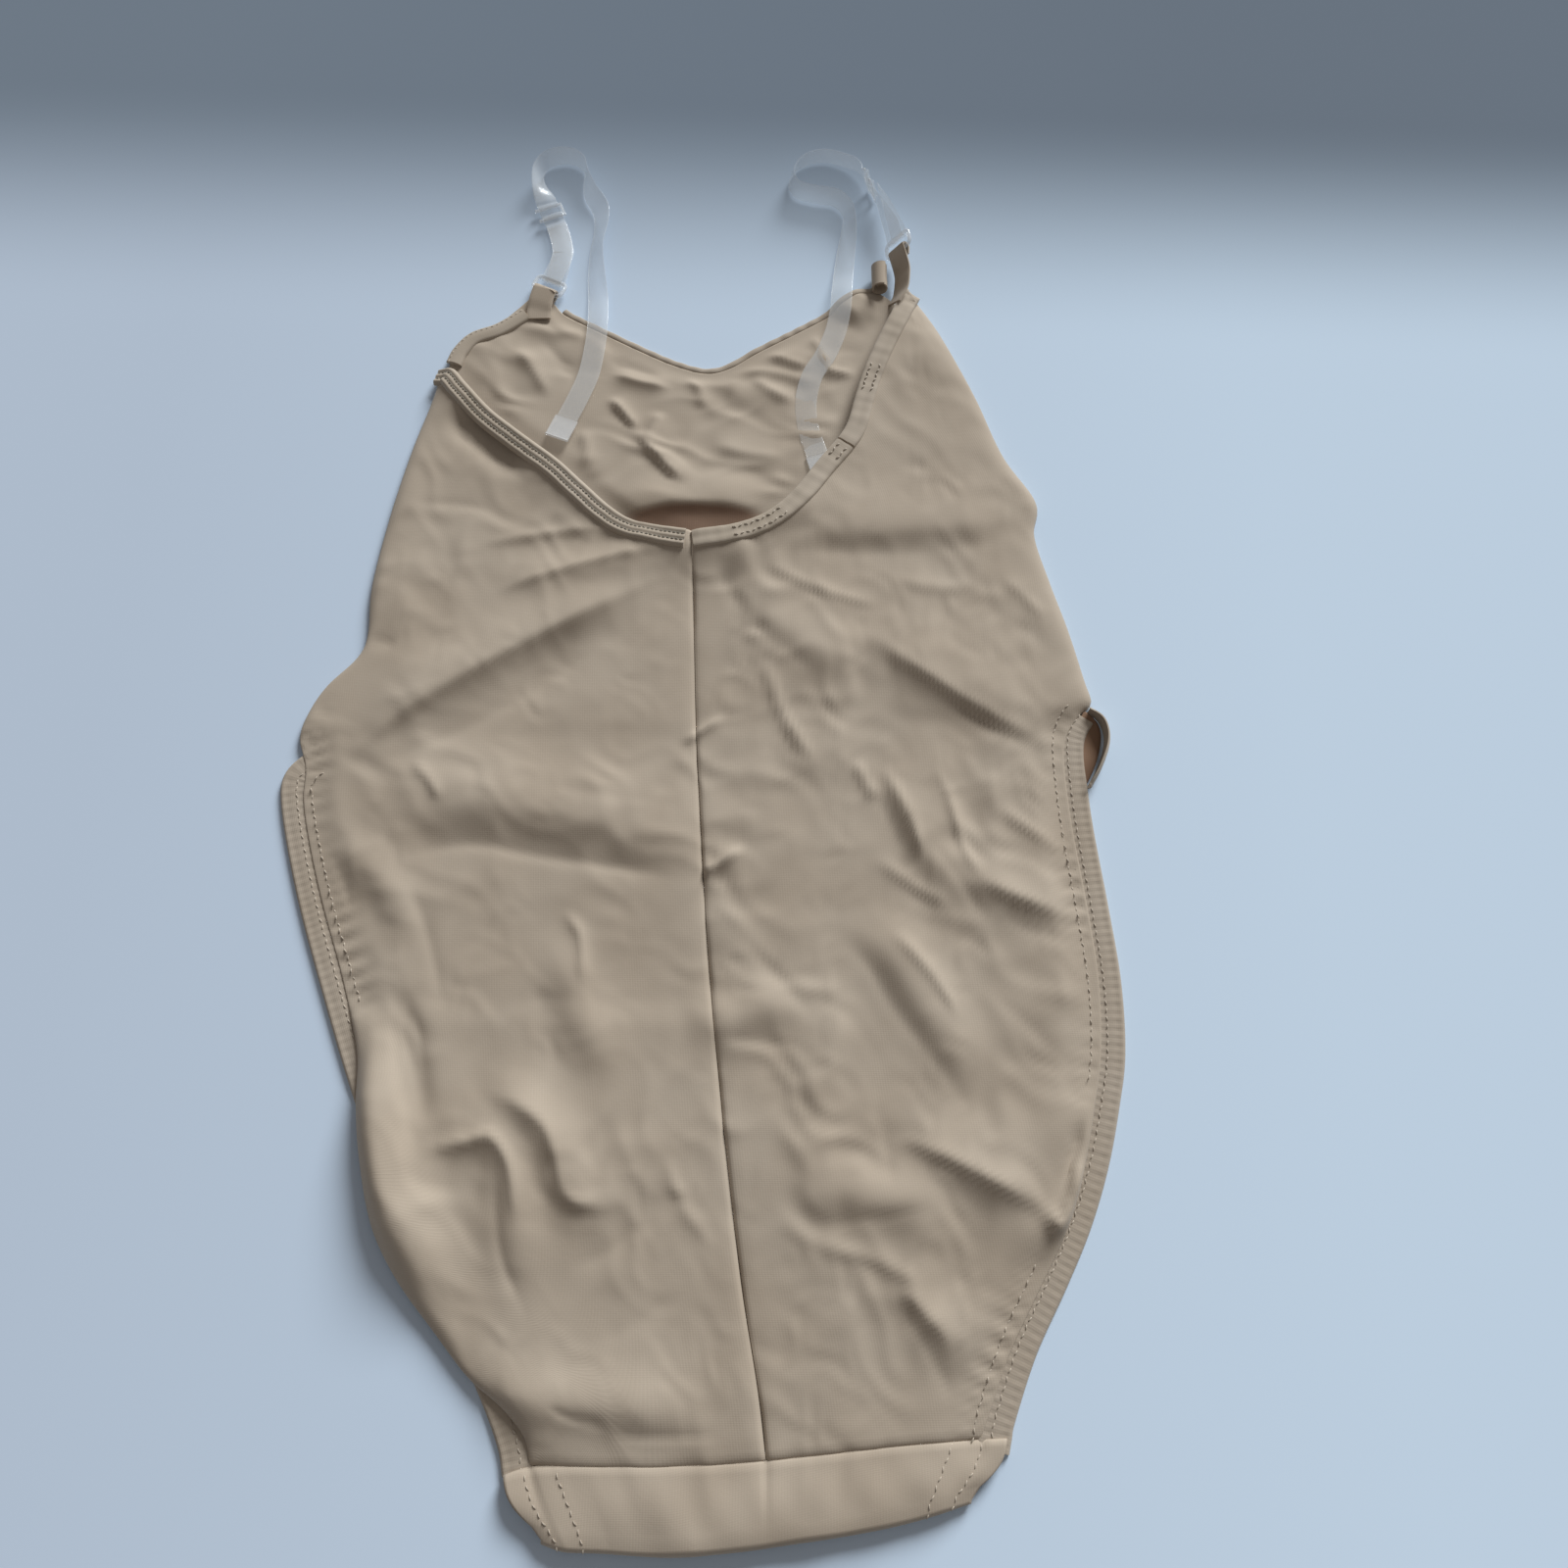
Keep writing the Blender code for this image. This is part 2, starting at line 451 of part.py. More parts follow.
def make_gusset():
    """The gusset from its seam over the bottom fold and under to the front."""
    count = GUSSET_COLUMNS
    seam = smooth(GUSSET_LEFT + GUSSET_RIGHT[1:], count)
    seam[:, 1] -= SEAM_GAP
    seam[:, 0] = np.linspace(-8.35, 6.6, count)
    fold = smooth([(-7.15, 0.6), (-6.0, 0.25), (-3.8, -0.05), (-1.5, 0.1), (0.5, 0.35), (2.4, 0.6),
                   (3.7, 0.95), (5.1, 1.45)], count)
    end = np.stack([np.linspace(-6.0, 4.8, count), 0 * seam[:, 1] + 2.9], axis=-1)
    back = seam.copy()
    back[:, 1] += 0.1
    seam_z = np.where(seam[:, 0] < -0.6, left_height(back), right_height(back))
    nose = np.interp(np.linspace(0, 1, count), [0, 0.12, 0.3, 0.75, 1], [3.4, 5.0, 6.6, 6.0, 3.2])
    under, over = [], []
    for share in (0, 0.25, 0.5, 0.75):
        xy = seam * (1 - share) + fold * share
        xy[:, 1] += 0.3 * share
        z = seam_z * (1 - ease(share)) + (nose - WALL) * ease(share)
        under.append(raised(xy, z))
        over.append(raised(xy, z + WALL))
    for turn in np.radians([90, 60, 30, 0, -30, -60, -90]):
        for rings, radius in ((over, nose / 2), (under, nose / 2 - WALL)):
            xy = fold.copy()
            xy[:, 1] += (nose / 2 - radius * math.cos(turn)) * 0.1
            rings.append(raised(xy, nose / 2 + radius * math.sin(turn)))
    for share in (0.5, 1.0):
        xy = fold * (1 - share) + end * share
        under.append(raised(xy, WALL + 0 * nose))
        over.append(raised(xy, 0 * nose))
    return sheet("crotch_gusset", np.stack(under, axis=1), np.stack(over, axis=1), JERSEY)


def unit(*values):
    """A direction of length 1."""
    values = np.array(values, float)
    return values / np.linalg.norm(values)


# The clear rings: middle in table units, the way along their long side and the way to their strap
RINGS = {
    "left": ((-11.2, 52.05, 3.0), unit(0.906, -0.42, 0), unit(0.42, 0.906, 0)),
    "right": ((5.45, 54.05, 8.4), unit(0.62, 0.0, 0.78), unit(-0.12, 0.985, 0.1)),
}
RING_HALF = (7.4, 3.8)
RING_WIRE = 1.0
# The clear straps from the hook to the ring: x, y, height of the lower edge in mm, turn in degrees
STRAPS = {
    "left": [(-9.85, 44.45, 3.6, 0), (-9.4, 45.6, 3.8, 0), (-9.0, 46.9, 3.8, 0), (-8.8, 48.5, 3.6, 4),
             (-8.75, 49.8, 3.2, 8), (-8.85, 51.4, 0.6, 12), (-9.0, 52.9, 0.3, 30), (-9.05, 54.3, 0.3, 44),
             (-8.9, 55.7, 0.3, 40), (-9.0, 56.8, 0.3, 34), (-9.55, 57.8, 0.3, 50), (-9.8, 58.7, 0.3, 72),
             (-9.9, 59.4, 0.3, 84), (-10.4, 59.9, 0.3, 86), (-11.1, 60.0, 0.3, 86), (-11.8, 59.7, 0.3, 84),
             (-12.15, 59.0, 0.3, 72), (-12.05, 58.2, 0.6, 46), (-11.75, 57.4, 2.0, 6), (-11.45, 56.6, 2.4, 0),
             (-11.1, 55.8, 2.6, 0), (-10.82, 54.9, 3.2, 0), (-10.66, 54.05, 4.0, 0), (-10.74, 53.3, 4.4, 0)],
    "right": [(1.5, 42.6, 2.0, 0), (1.1, 44.0, 2.0, 0), (1.0, 45.4, 2.4, 0), (1.3, 46.8, 3.4, 0),
              (1.9, 47.9, 3.6, 0), (2.4, 49.2, 4.2, 0), (2.65, 50.4, 5.0, 4), (2.75, 51.6, 4.6, 8),
              (2.85, 52.8, 1.2, 16), (3.0, 54.2, 0.3, 26), (3.15, 55.5, 0.3, 44), (3.1, 56.6, 0.3, 66),
              (2.5, 57.3, 0.3, 80), (1.5, 57.5, 0.3, 80), (0.6, 57.9, 0.3, 78), (0.4, 58.8, 0.3, 74),
              (1.0, 59.7, 0.3, 76), (2.0, 60.0, 0.3, 78), (3.0, 59.7, 0.6, 78), (3.65, 59.25, 1.6, 76),
              (3.95, 58.7, 2.2, 74), (4.2, 57.95, 2.3, 74), (4.45, 57.2, 2.4, 76),
              (4.7, 56.45, 3.0, 92), (5.02, 55.5, 4.0, 112), (5.18, 54.98, 5.2, 124)],
}
# Where each strap passes its slider: x, y
SLIDER_AT = {"left": (-11.45, 56.6), "right": (4.2, 57.95)}
SLIDER_BARS = 3.5
WEAVE_DEPTH = 1.55
# The strap's end, led back from the ring: its distance from the strap and where it stops, in mm
TAIL_GAP = 2.9
TAIL_END = 6.0
TAIL_SKIP = 3


def ring_turn(which, sign, radius):
    """Half a turn round one of a ring's bars, through the ring's hole, in table units."""
    middle, long_way, strap_way = RINGS[which]
    out = np.cross(long_way, strap_way)
    out *= np.sign(out[2] + 1e-9)
    angles = np.radians(np.linspace(0, 180, 7))
    bar = sign * strap_way * RING_HALF[1]
    arc = [bar + radius * (math.cos(a) * out - math.sin(a) * sign * strap_way) for a in angles]
    return np.array(middle) + np.array(arc) * [0.1, 0.1, 1.0]


def strap_path(which):
    """The middle of a strap from its hook to its ring, with the way across it."""
    rows = smooth(STRAPS[which], 700)
    near = np.abs(np.linalg.norm(rows[:, :2] - SLIDER_AT[which], axis=1)) < 0.75
    step = np.arange(len(rows)) % np.where(near, 2, 10) == 0
    rows = rows[step | (np.arange(len(rows)) == len(rows) - 1)]
    side = level_sides(rows, rows[:, 3])
    rise = np.abs(np.sin(np.radians(rows[:, 3]))) * STRAP_WIDTH * 5
    middle = np.column_stack([rows[:, :2], rows[:, 2] + rise + STRAP_WALL / 2])
    return middle, side


def across_and_up(middle, side):
    """A strap's own frame at each point: along it, across it and out of its face."""
    run = np.gradient(place(middle), axis=0)
    run /= np.linalg.norm(run, axis=1)[:, None]
    side = side - (side * run).sum(1)[:, None] * run
    side /= np.linalg.norm(side, axis=1)[:, None]
    return run, side, np.cross(side, run)


def make_strap(which):
    """A clear strap, woven through its slider, turned round its ring and led back under itself."""
    middle, side = strap_path(which)
    run, side, up = across_and_up(middle, side)
    at = int(np.linalg.norm(middle[:, :2] - SLIDER_AT[which], axis=1).argmin())
    steps = np.linalg.norm(np.diff(place(middle), axis=0), axis=1) / MM
    travel = np.concatenate([[0], np.cumsum(steps)])
    travel -= travel[at]
    wave = -WEAVE_DEPTH * np.cos(math.pi * travel / SLIDER_BARS) * ease((8.5 - np.abs(travel)) / 4)
    woven = middle + up * wave[:, None] * [0.1, 0.1, 1.0]
    turn = ring_turn(which, 1, RING_WIRE + 0.5 + STRAP_WALL / 2)
    _, long_way, strap_way = RINGS[which]
    turn = np.vstack([turn, turn[-1:] + strap_way * [0.25, 0.25, 2.5]])
    sign = np.sign((side[-1] * long_way).sum())
    outward = turn[0] - turn[6]
    under = -TAIL_GAP * np.sign((up[-1] * outward).sum())
    back = int(np.argmax(travel > TAIL_END))
    tail = middle[back:][::-1][TAIL_SKIP:] + up[back:][::-1][TAIL_SKIP:] * under * [0.1, 0.1, 1.0]
    tail[:, 2] = np.maximum(tail[:, 2], STRAP_WALL / 2 + 0.1)
    path = np.vstack([woven, turn, tail])
    sides = np.vstack([side, np.tile(long_way * sign, (len(turn), 1)), side[back:][::-1][TAIL_SKIP:]])
    ribbon("strap_" + which, path, sides, STRAP_WIDTH, STRAP_WALL, CLEAR)
    return middle[at], side[at], up[at]


def loops_object(name, loops, half, frame, origin, bevel=0.0):
    """A flat outline with its holes, made solid, or a bent wire where it has a bevel."""
    curve = bpy.data.curves.new(name, "CURVE")
    curve.dimensions = "3D" if bevel else "2D"
    curve.fill_mode = "FULL" if bevel else "BOTH"
    curve.extrude = half * MM
    curve.bevel_depth = bevel * MM
    curve.bevel_resolution = 2
    for loop in loops:
        spline = curve.splines.new("POLY")
        spline.points.add(len(loop) - 1)
        spline.use_cyclic_u = True
        for point, (x, y) in zip(spline.points, loop):
            point.co = (x * MM, y * MM, 0, 1)
    obj = bpy.data.objects.new(name, curve)
    bpy.data.collections["camisole_leotard"].objects.link(obj)
    turn = np.identity(4)
    turn[:3, :3] = np.column_stack(frame)
    turn[:3, 3] = place(origin)
    obj.matrix_world = Matrix(turn.tolist())
    curve.materials.append(material(*CLEAR))
    return obj


def rounded(half_x, half_y, radius, middle=0.0):
    """A rounded rectangle about a middle height, as points."""
    points = []
    for corner, (sx, sy) in enumerate(((1, 1), (-1, 1), (-1, -1), (1, -1))):
        for step in range(4):
            angle = math.radians(90 * corner + 30 * step)
            points.append((sx * (half_x - radius) + radius * math.cos(angle),
                           middle + sy * (half_y - radius) + radius * math.sin(angle)))
    return points


def make_hardware(which, slider_frame):
    """The clear ring and slider of one strap."""
    middle, long_way, strap_way = RINGS[which]
    out = np.cross(long_way, strap_way)
    ring = rounded(*RING_HALF, 2.2)
    loops_object("ring_" + which, [ring], 0.0, (long_way, strap_way, out), middle, RING_WIRE)
    spot, side, up = slider_frame
    slots = [rounded(5.6, 1.05, 0.5, sign * SLIDER_BARS / 2) for sign in (1, -1)]
    frame = (side, np.cross(up, side), up)
    loops_object("slider_" + which, [rounded(6.8, 4.3, 1.2)] + slots, 0.5, frame, spot)


def make_tabs():
    """The fabric loops on the front's peaks, and the peak that has rolled up on the right."""
    radius = RING_WIRE + 0.5 + TAB_WALL / 2
    left = ring_turn("left", -1, radius)
    lead = np.array([(-11.58, 50.15, 2.8), (-11.58, 50.6, 3.2), (-11.52, 51.1, 4.2)])
    tail = np.array([(-11.56, 51.25, 1.3)])
    path = smooth(np.vstack([lead, left, tail]), 26)
    ribbon("strap_loop_left", path, np.tile(RINGS["left"][1], (26, 1)), TAB_WIDTH, TAB_WALL, JERSEY)
    right = ring_turn("right", -1, radius)
    lead = np.array([(5.62, 52.1, 6.2), (5.6, 52.7, 7.0)])
    tail = right[-1:] + np.array([(-0.02, -0.3, -0.2)])
    path = smooth(np.vstack([lead, right, tail]), 26)
    ribbon("strap_loop_right", path, np.tile(RINGS["right"][1], (26, 1)), 1.0, TAB_WALL, JERSEY)
    angles = np.radians(np.linspace(60, 470, 26))
    radii = np.linspace(1.7, 4.6, 26)
    curl = np.stack([4.45 - 0.1 * radii * np.cos(angles), 52.75 + 0 * radii,
                     5.4 + radii * np.sin(angles)], axis=-1)
    ribbon("front_peak_roll_right", curl, np.tile([0.0, 1.0, 0.0], (26, 1)), 0.95, TAB_WALL, JERSEY)


def make_hook(which):
    """The clear plate and hook on the lower end of a strap, made from its side view."""
    profile = [(0.4, -0.5), (11.0, -0.5), (11.5, 0.2), (11.1, 1.5), (8.0, 1.5), (8.0, 0.9), (10.0, 0.8),
               (10.2, 0.4), (0.4, 0.5)]
    middle, side = strap_path(which)
    run = across_and_up(middle[:4], side[:4])[0]
    flat = unit(-run[0, 0], -run[0, 1], 0)
    across = np.cross(flat, (0, 0, 1))
    loops_object("hook_" + which, [profile], 5.5, (flat, np.array((0, 0, 1.0)), across), middle[0])


def main():
    """Clears the scene and makes every piece."""
    for obj in list(bpy.data.objects):
        bpy.data.objects.remove(obj, do_unlink=True)
    bpy.context.scene.collection.children.link(bpy.data.collections.new("camisole_leotard"))
    make_panels()
    make_edges()
    make_gusset()
    for which in ("left", "right"):
        make_hardware(which, make_strap(which))
        make_hook(which)
    make_tabs()


main()
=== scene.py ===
"""The looks of a camisole leotard laid flat with its back up: cloth, elastic, thread and clear straps.

The tables are in centimetres across the surface, from the crotch fold, with heights in millimetres."""

import math

import bpy
import numpy as np
from mathutils import Matrix


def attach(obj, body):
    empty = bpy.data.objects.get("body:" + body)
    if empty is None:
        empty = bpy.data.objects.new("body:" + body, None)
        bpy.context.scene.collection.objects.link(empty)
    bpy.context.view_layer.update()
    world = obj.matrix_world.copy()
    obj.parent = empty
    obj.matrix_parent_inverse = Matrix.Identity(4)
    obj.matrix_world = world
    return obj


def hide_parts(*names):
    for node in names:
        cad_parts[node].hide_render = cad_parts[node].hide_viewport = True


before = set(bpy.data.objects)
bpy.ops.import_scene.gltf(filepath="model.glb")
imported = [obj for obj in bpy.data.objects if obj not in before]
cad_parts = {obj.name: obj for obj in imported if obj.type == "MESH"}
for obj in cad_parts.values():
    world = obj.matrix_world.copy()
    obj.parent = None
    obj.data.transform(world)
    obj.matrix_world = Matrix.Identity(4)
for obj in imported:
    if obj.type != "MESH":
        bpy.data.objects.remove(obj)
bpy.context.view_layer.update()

CM = 0.01
MM = 0.001
MIDDLE_X = -3.541
MIDDLE_Y = 30.038

# Cloth, elastic and clear parts, in millimetres unless a name says otherwise
CLOTH = 0.9
BAND_TOP = 2.0
BAND_CM = 1.2
CLEAR_OF_FRONT = 1.6
WALL = 1.2
RIM_ROUND = 0.45
LOFT = 1.4
SCOOP_REACH = 1.7
SIDE_ROUND = 1.3
STRAP_WIDTH = 1.0
STRAP_WALL = 0.6
RING_HALF = (7.4, 3.8)
RING_WIRE = 1.0
SLIDER_BARS = 3.5
WEAVE_DEPTH = 1.55
TAIL_GAP = 2.9
TAIL_END = 6.0
CREST_ROUND = 0.3
FOLD_LIFT = 1.6
HOLLOW_LIFT = 0.65
BROAD_LIFT = 1.25

# Outlines: x, y
LEFT_LEG = [(-8.5, 2.55), (-8.75, 3.4), (-9.6, 4.3), (-10.8, 5.2), (-12.1, 6.6), (-13.6, 8.3),
            (-14.7, 10.1), (-15.4, 12.4), (-15.75, 14.3), (-15.9, 15.9), (-16.3, 17.3),
            (-17.0, 19.3), (-18.0, 21.8), (-18.8, 24.1), (-19.35, 26.1), (-19.45, 27.5)]
LEFT_SIDE = [(-19.45, 27.5), (-19.9, 28.9), (-19.7, 30.0), (-19.1, 31.2), (-18.0, 32.5), (-17.7, 33.6),
             (-17.8, 35.9), (-17.4, 39.5), (-16.8, 42.9), (-16.2, 45.4), (-15.9, 47.2)]
LEFT_SCOOP = [(-15.9, 47.2), (-15.2, 47.0), (-14.5, 46.1), (-13.3, 44.7), (-12.2, 43.7), (-11.1, 42.8),
              (-9.9, 41.8), (-8.8, 40.7), (-7.6, 39.5), (-6.6, 38.8), (-5.4, 38.5), (-4.0, 38.3)]
BACK_SEAM = [(-0.6, 2.7), (-0.9, 4.9), (-1.5, 8.2), (-2.1, 12.6), (-2.6, 16.8), (-3.0, 20.8),
             (-3.3, 24.8), (-3.6, 29.0), (-3.8, 33.3), (-4.0, 38.3)]
GUSSET_LEFT = [(-8.5, 2.55), (-4.8, 2.5), (-2.7, 2.55), (-0.6, 2.7)]
GUSSET_RIGHT = [(-0.6, 2.7), (2.5, 3.0), (4.6, 3.2), (6.6, 3.3)]
RIGHT_LEG = [(6.6, 3.3), (7.0, 4.2), (7.8, 6.0), (8.9, 7.9), (10.0, 9.8), (10.8, 11.8), (11.4, 14.0),
             (11.85, 16.2), (12.0, 19.0), (11.8, 22.0), (11.5, 25.0), (11.4, 27.6)]
RIGHT_SIDE = [(11.4, 27.6), (11.6, 28.9), (12.3, 29.9), (12.8, 30.4), (12.6, 31.4), (12.1, 33.8), (11.5, 36.1),
              (11.0, 38.4), (11.2, 40.1), (9.9, 42.5), (8.9, 45.5), (8.0, 47.8), (7.2, 49.6), (6.3, 51.2)]
RIGHT_SCOOP = [(-4.0, 38.3), (-2.2, 38.6), (-0.8, 39.2), (0.4, 40.3), (1.5, 41.9), (2.7, 43.6),
               (3.2, 45.3), (3.6, 46.7), (4.2, 48.3), (4.9, 49.9), (5.7, 51.6), (6.3, 51.2)]
FRONT_LEFT = [(-6.4, 3.0), (-8.0, 6.0), (-10.2, 10.0), (-12.6, 15.0), (-15.0, 20.0), (-17.2, 25.2),
              (-18.9, 29.3), (-18.4, 31.0), (-17.4, 32.6), (-17.2, 35.9), (-16.9, 39.5), (-16.3, 42.9),
              (-15.7, 45.6), (-15.6, 47.3), (-15.4, 48.5), (-14.7, 49.4), (-13.6, 49.9), (-12.6, 50.9),
              (-12.1, 51.5)]
FRONT_NECK = [(-12.1, 51.5), (-11.1, 51.3), (-10.4, 50.5), (-8.9, 49.6), (-6.6, 48.3), (-5.0, 47.5),
              (-3.6, 47.1), (-2.5, 47.4), (-1.2, 48.3), (0.6, 49.4), (2.0, 50.3), (3.1, 51.2), (4.4, 51.9)]
FRONT_RIGHT = [(4.8, 3.0), (5.8, 6.0), (7.4, 10.0), (8.8, 15.0), (9.5, 20.0), (9.7, 25.0),
               (10.6, 28.4), (11.8, 30.6), (12.0, 31.4), (11.5, 33.8), (10.9, 36.1), (10.4, 38.4), (10.6, 39.9),
               (9.3, 42.3), (8.3, 45.3), (7.4, 47.5), (6.6, 49.3), (5.6, 50.8), (4.4, 51.9)]
FRONT_CROTCH = [(-6.4, 3.0), (-0.8, 3.1), (4.8, 3.0)]
# The leg bands' own middle lines: x, y
LEFT_LEG_BAND = [(-19.15, 27.8), (-19.75, 27.1), (-19.7, 26.1), (-19.1, 24.0), (-18.3, 21.7), (-17.3, 19.2),
                 (-16.0, 16.1), (-15.0, 13.9), (-14.0, 11.6), (-12.5, 8.8), (-10.95, 6.65), (-9.85, 4.85),
                 (-9.1, 3.3), (-8.85, 2.35)]
RIGHT_LEG_BAND = [(7.0, 3.0), (7.1, 3.4), (7.3, 4.1), (8.2, 6.2), (9.4, 8.3), (10.4, 10.2),
                  (11.2, 12.2), (11.8, 14.3), (12.2, 16.2), (12.3, 18.8), (12.1, 21.6), (11.8, 24.8),
                  (11.7, 26.8), (11.7, 28.4), (11.9, 29.2), (12.3, 29.8)]

# The largest folds of the back: height in mm, near and far half-widths in cm, then the line of each, x, y
BACK_CREASES = [
    (2.2, 0.7, 2.0, [(-0.6, 38.3), (2.6, 38.5), (6.7, 38.6), (10.6, 39.2)]),
    (3.4, 1.0, 1.6, [(-4.4, 36.6), (-7.4, 35.2), (-12.2, 32.4), (-16.1, 30.0), (-18.6, 28.4)]),
    (2.2, 0.9, 0.9, [(-5.0, 37.5), (-8.5, 36.6), (-13.0, 35.9)]),
    (3.2, 1.1, 2.0, [(-17.0, 25.4), (-12.5, 25.9), (-9.5, 25.5), (-5.0, 24.8), (-2.0, 24.9)]),
    (2.4, 1.1, 1.6, [(-2.2, 36.0), (0.0, 33.6), (1.8, 32.4), (3.6, 31.2)]),
    (2.8, 1.3, 2.0, [(2.6, 34.4), (6.0, 32.0), (8.4, 30.6), (10.8, 29.2)]),
    (1.7, 0.8, 1.1, [(3.9, 27.6), (5.2, 25.2), (6.0, 23.6), (7.6, 21.4)]),
    (1.9, 1.0, 1.3, [(6.9, 23.4), (9.0, 22.4), (11.2, 21.9)]),
    (3.0, 0.9, 1.3, [(2.2, 21.6), (4.0, 20.0), (5.2, 17.9), (6.6, 15.6), (7.8, 14.0)]),
    (2.4, 0.9, 1.4, [(4.2, 13.6), (6.6, 12.2), (9.2, 10.8)]),
    (3.4, 0.5, 0.5, [(9.2, 10.8), (9.9, 10.2), (10.5, 10.9), (10.7, 12.6)]),
    (2.6, 0.9, 1.1, [(0.6, 11.4), (3.6, 10.9), (6.4, 10.4)]),
    (1.6, 0.8, 1.2, [(3.9, 8.6), (5.2, 7.0), (6.2, 5.0)]),
    (2.2, 0.8, 1.0, [(-3.8, 16.8), (-1.4, 17.6), (1.2, 18.2)]),
    (5.2, 1.0, 1.2, [(-15.2, 17.2), (-15.0, 15.2), (-14.8, 13.2), (-14.0, 11.0), (-12.8, 9.0), (-11.2, 7.0)]),
    (-1.8, 0.5, 0.5, [(-14.6, 18.6), (-13.9, 16.6), (-13.4, 14.6), (-13.0, 12.8)]),
    (2.2, 0.8, 1.0, [(-13.4, 12.9), (-11.6, 13.2), (-10.4, 12.8), (-9.9, 11.2), (-9.6, 9.0), (-8.8, 7.2)]),
    (2.6, 0.8, 0.9, [(-11.6, 15.2), (-9.7, 14.4), (-8.3, 13.0), (-7.2, 11.4), (-5.2, 11.2)]),
    (2.4, 0.8, 1.0, [(-11.0, 5.6), (-8.6, 4.6), (-5.8, 4.4), (-2.0, 4.2)]),
    (2.0, 0.7, 0.8, [(-17.6, 24.6), (-15.6, 22.6), (-14.2, 20.0)]),
    (2.0, 0.9, 0.9, [(-9.0, 21.0), (-7.6, 17.6), (-6.2, 14.6)]),
]
HOLLOW = (-4.2, 0.75, 0.75, [(-15.4, 45.2), (-14.1, 43.9), (-12.6, 42.6), (-10.9, 41.3)])
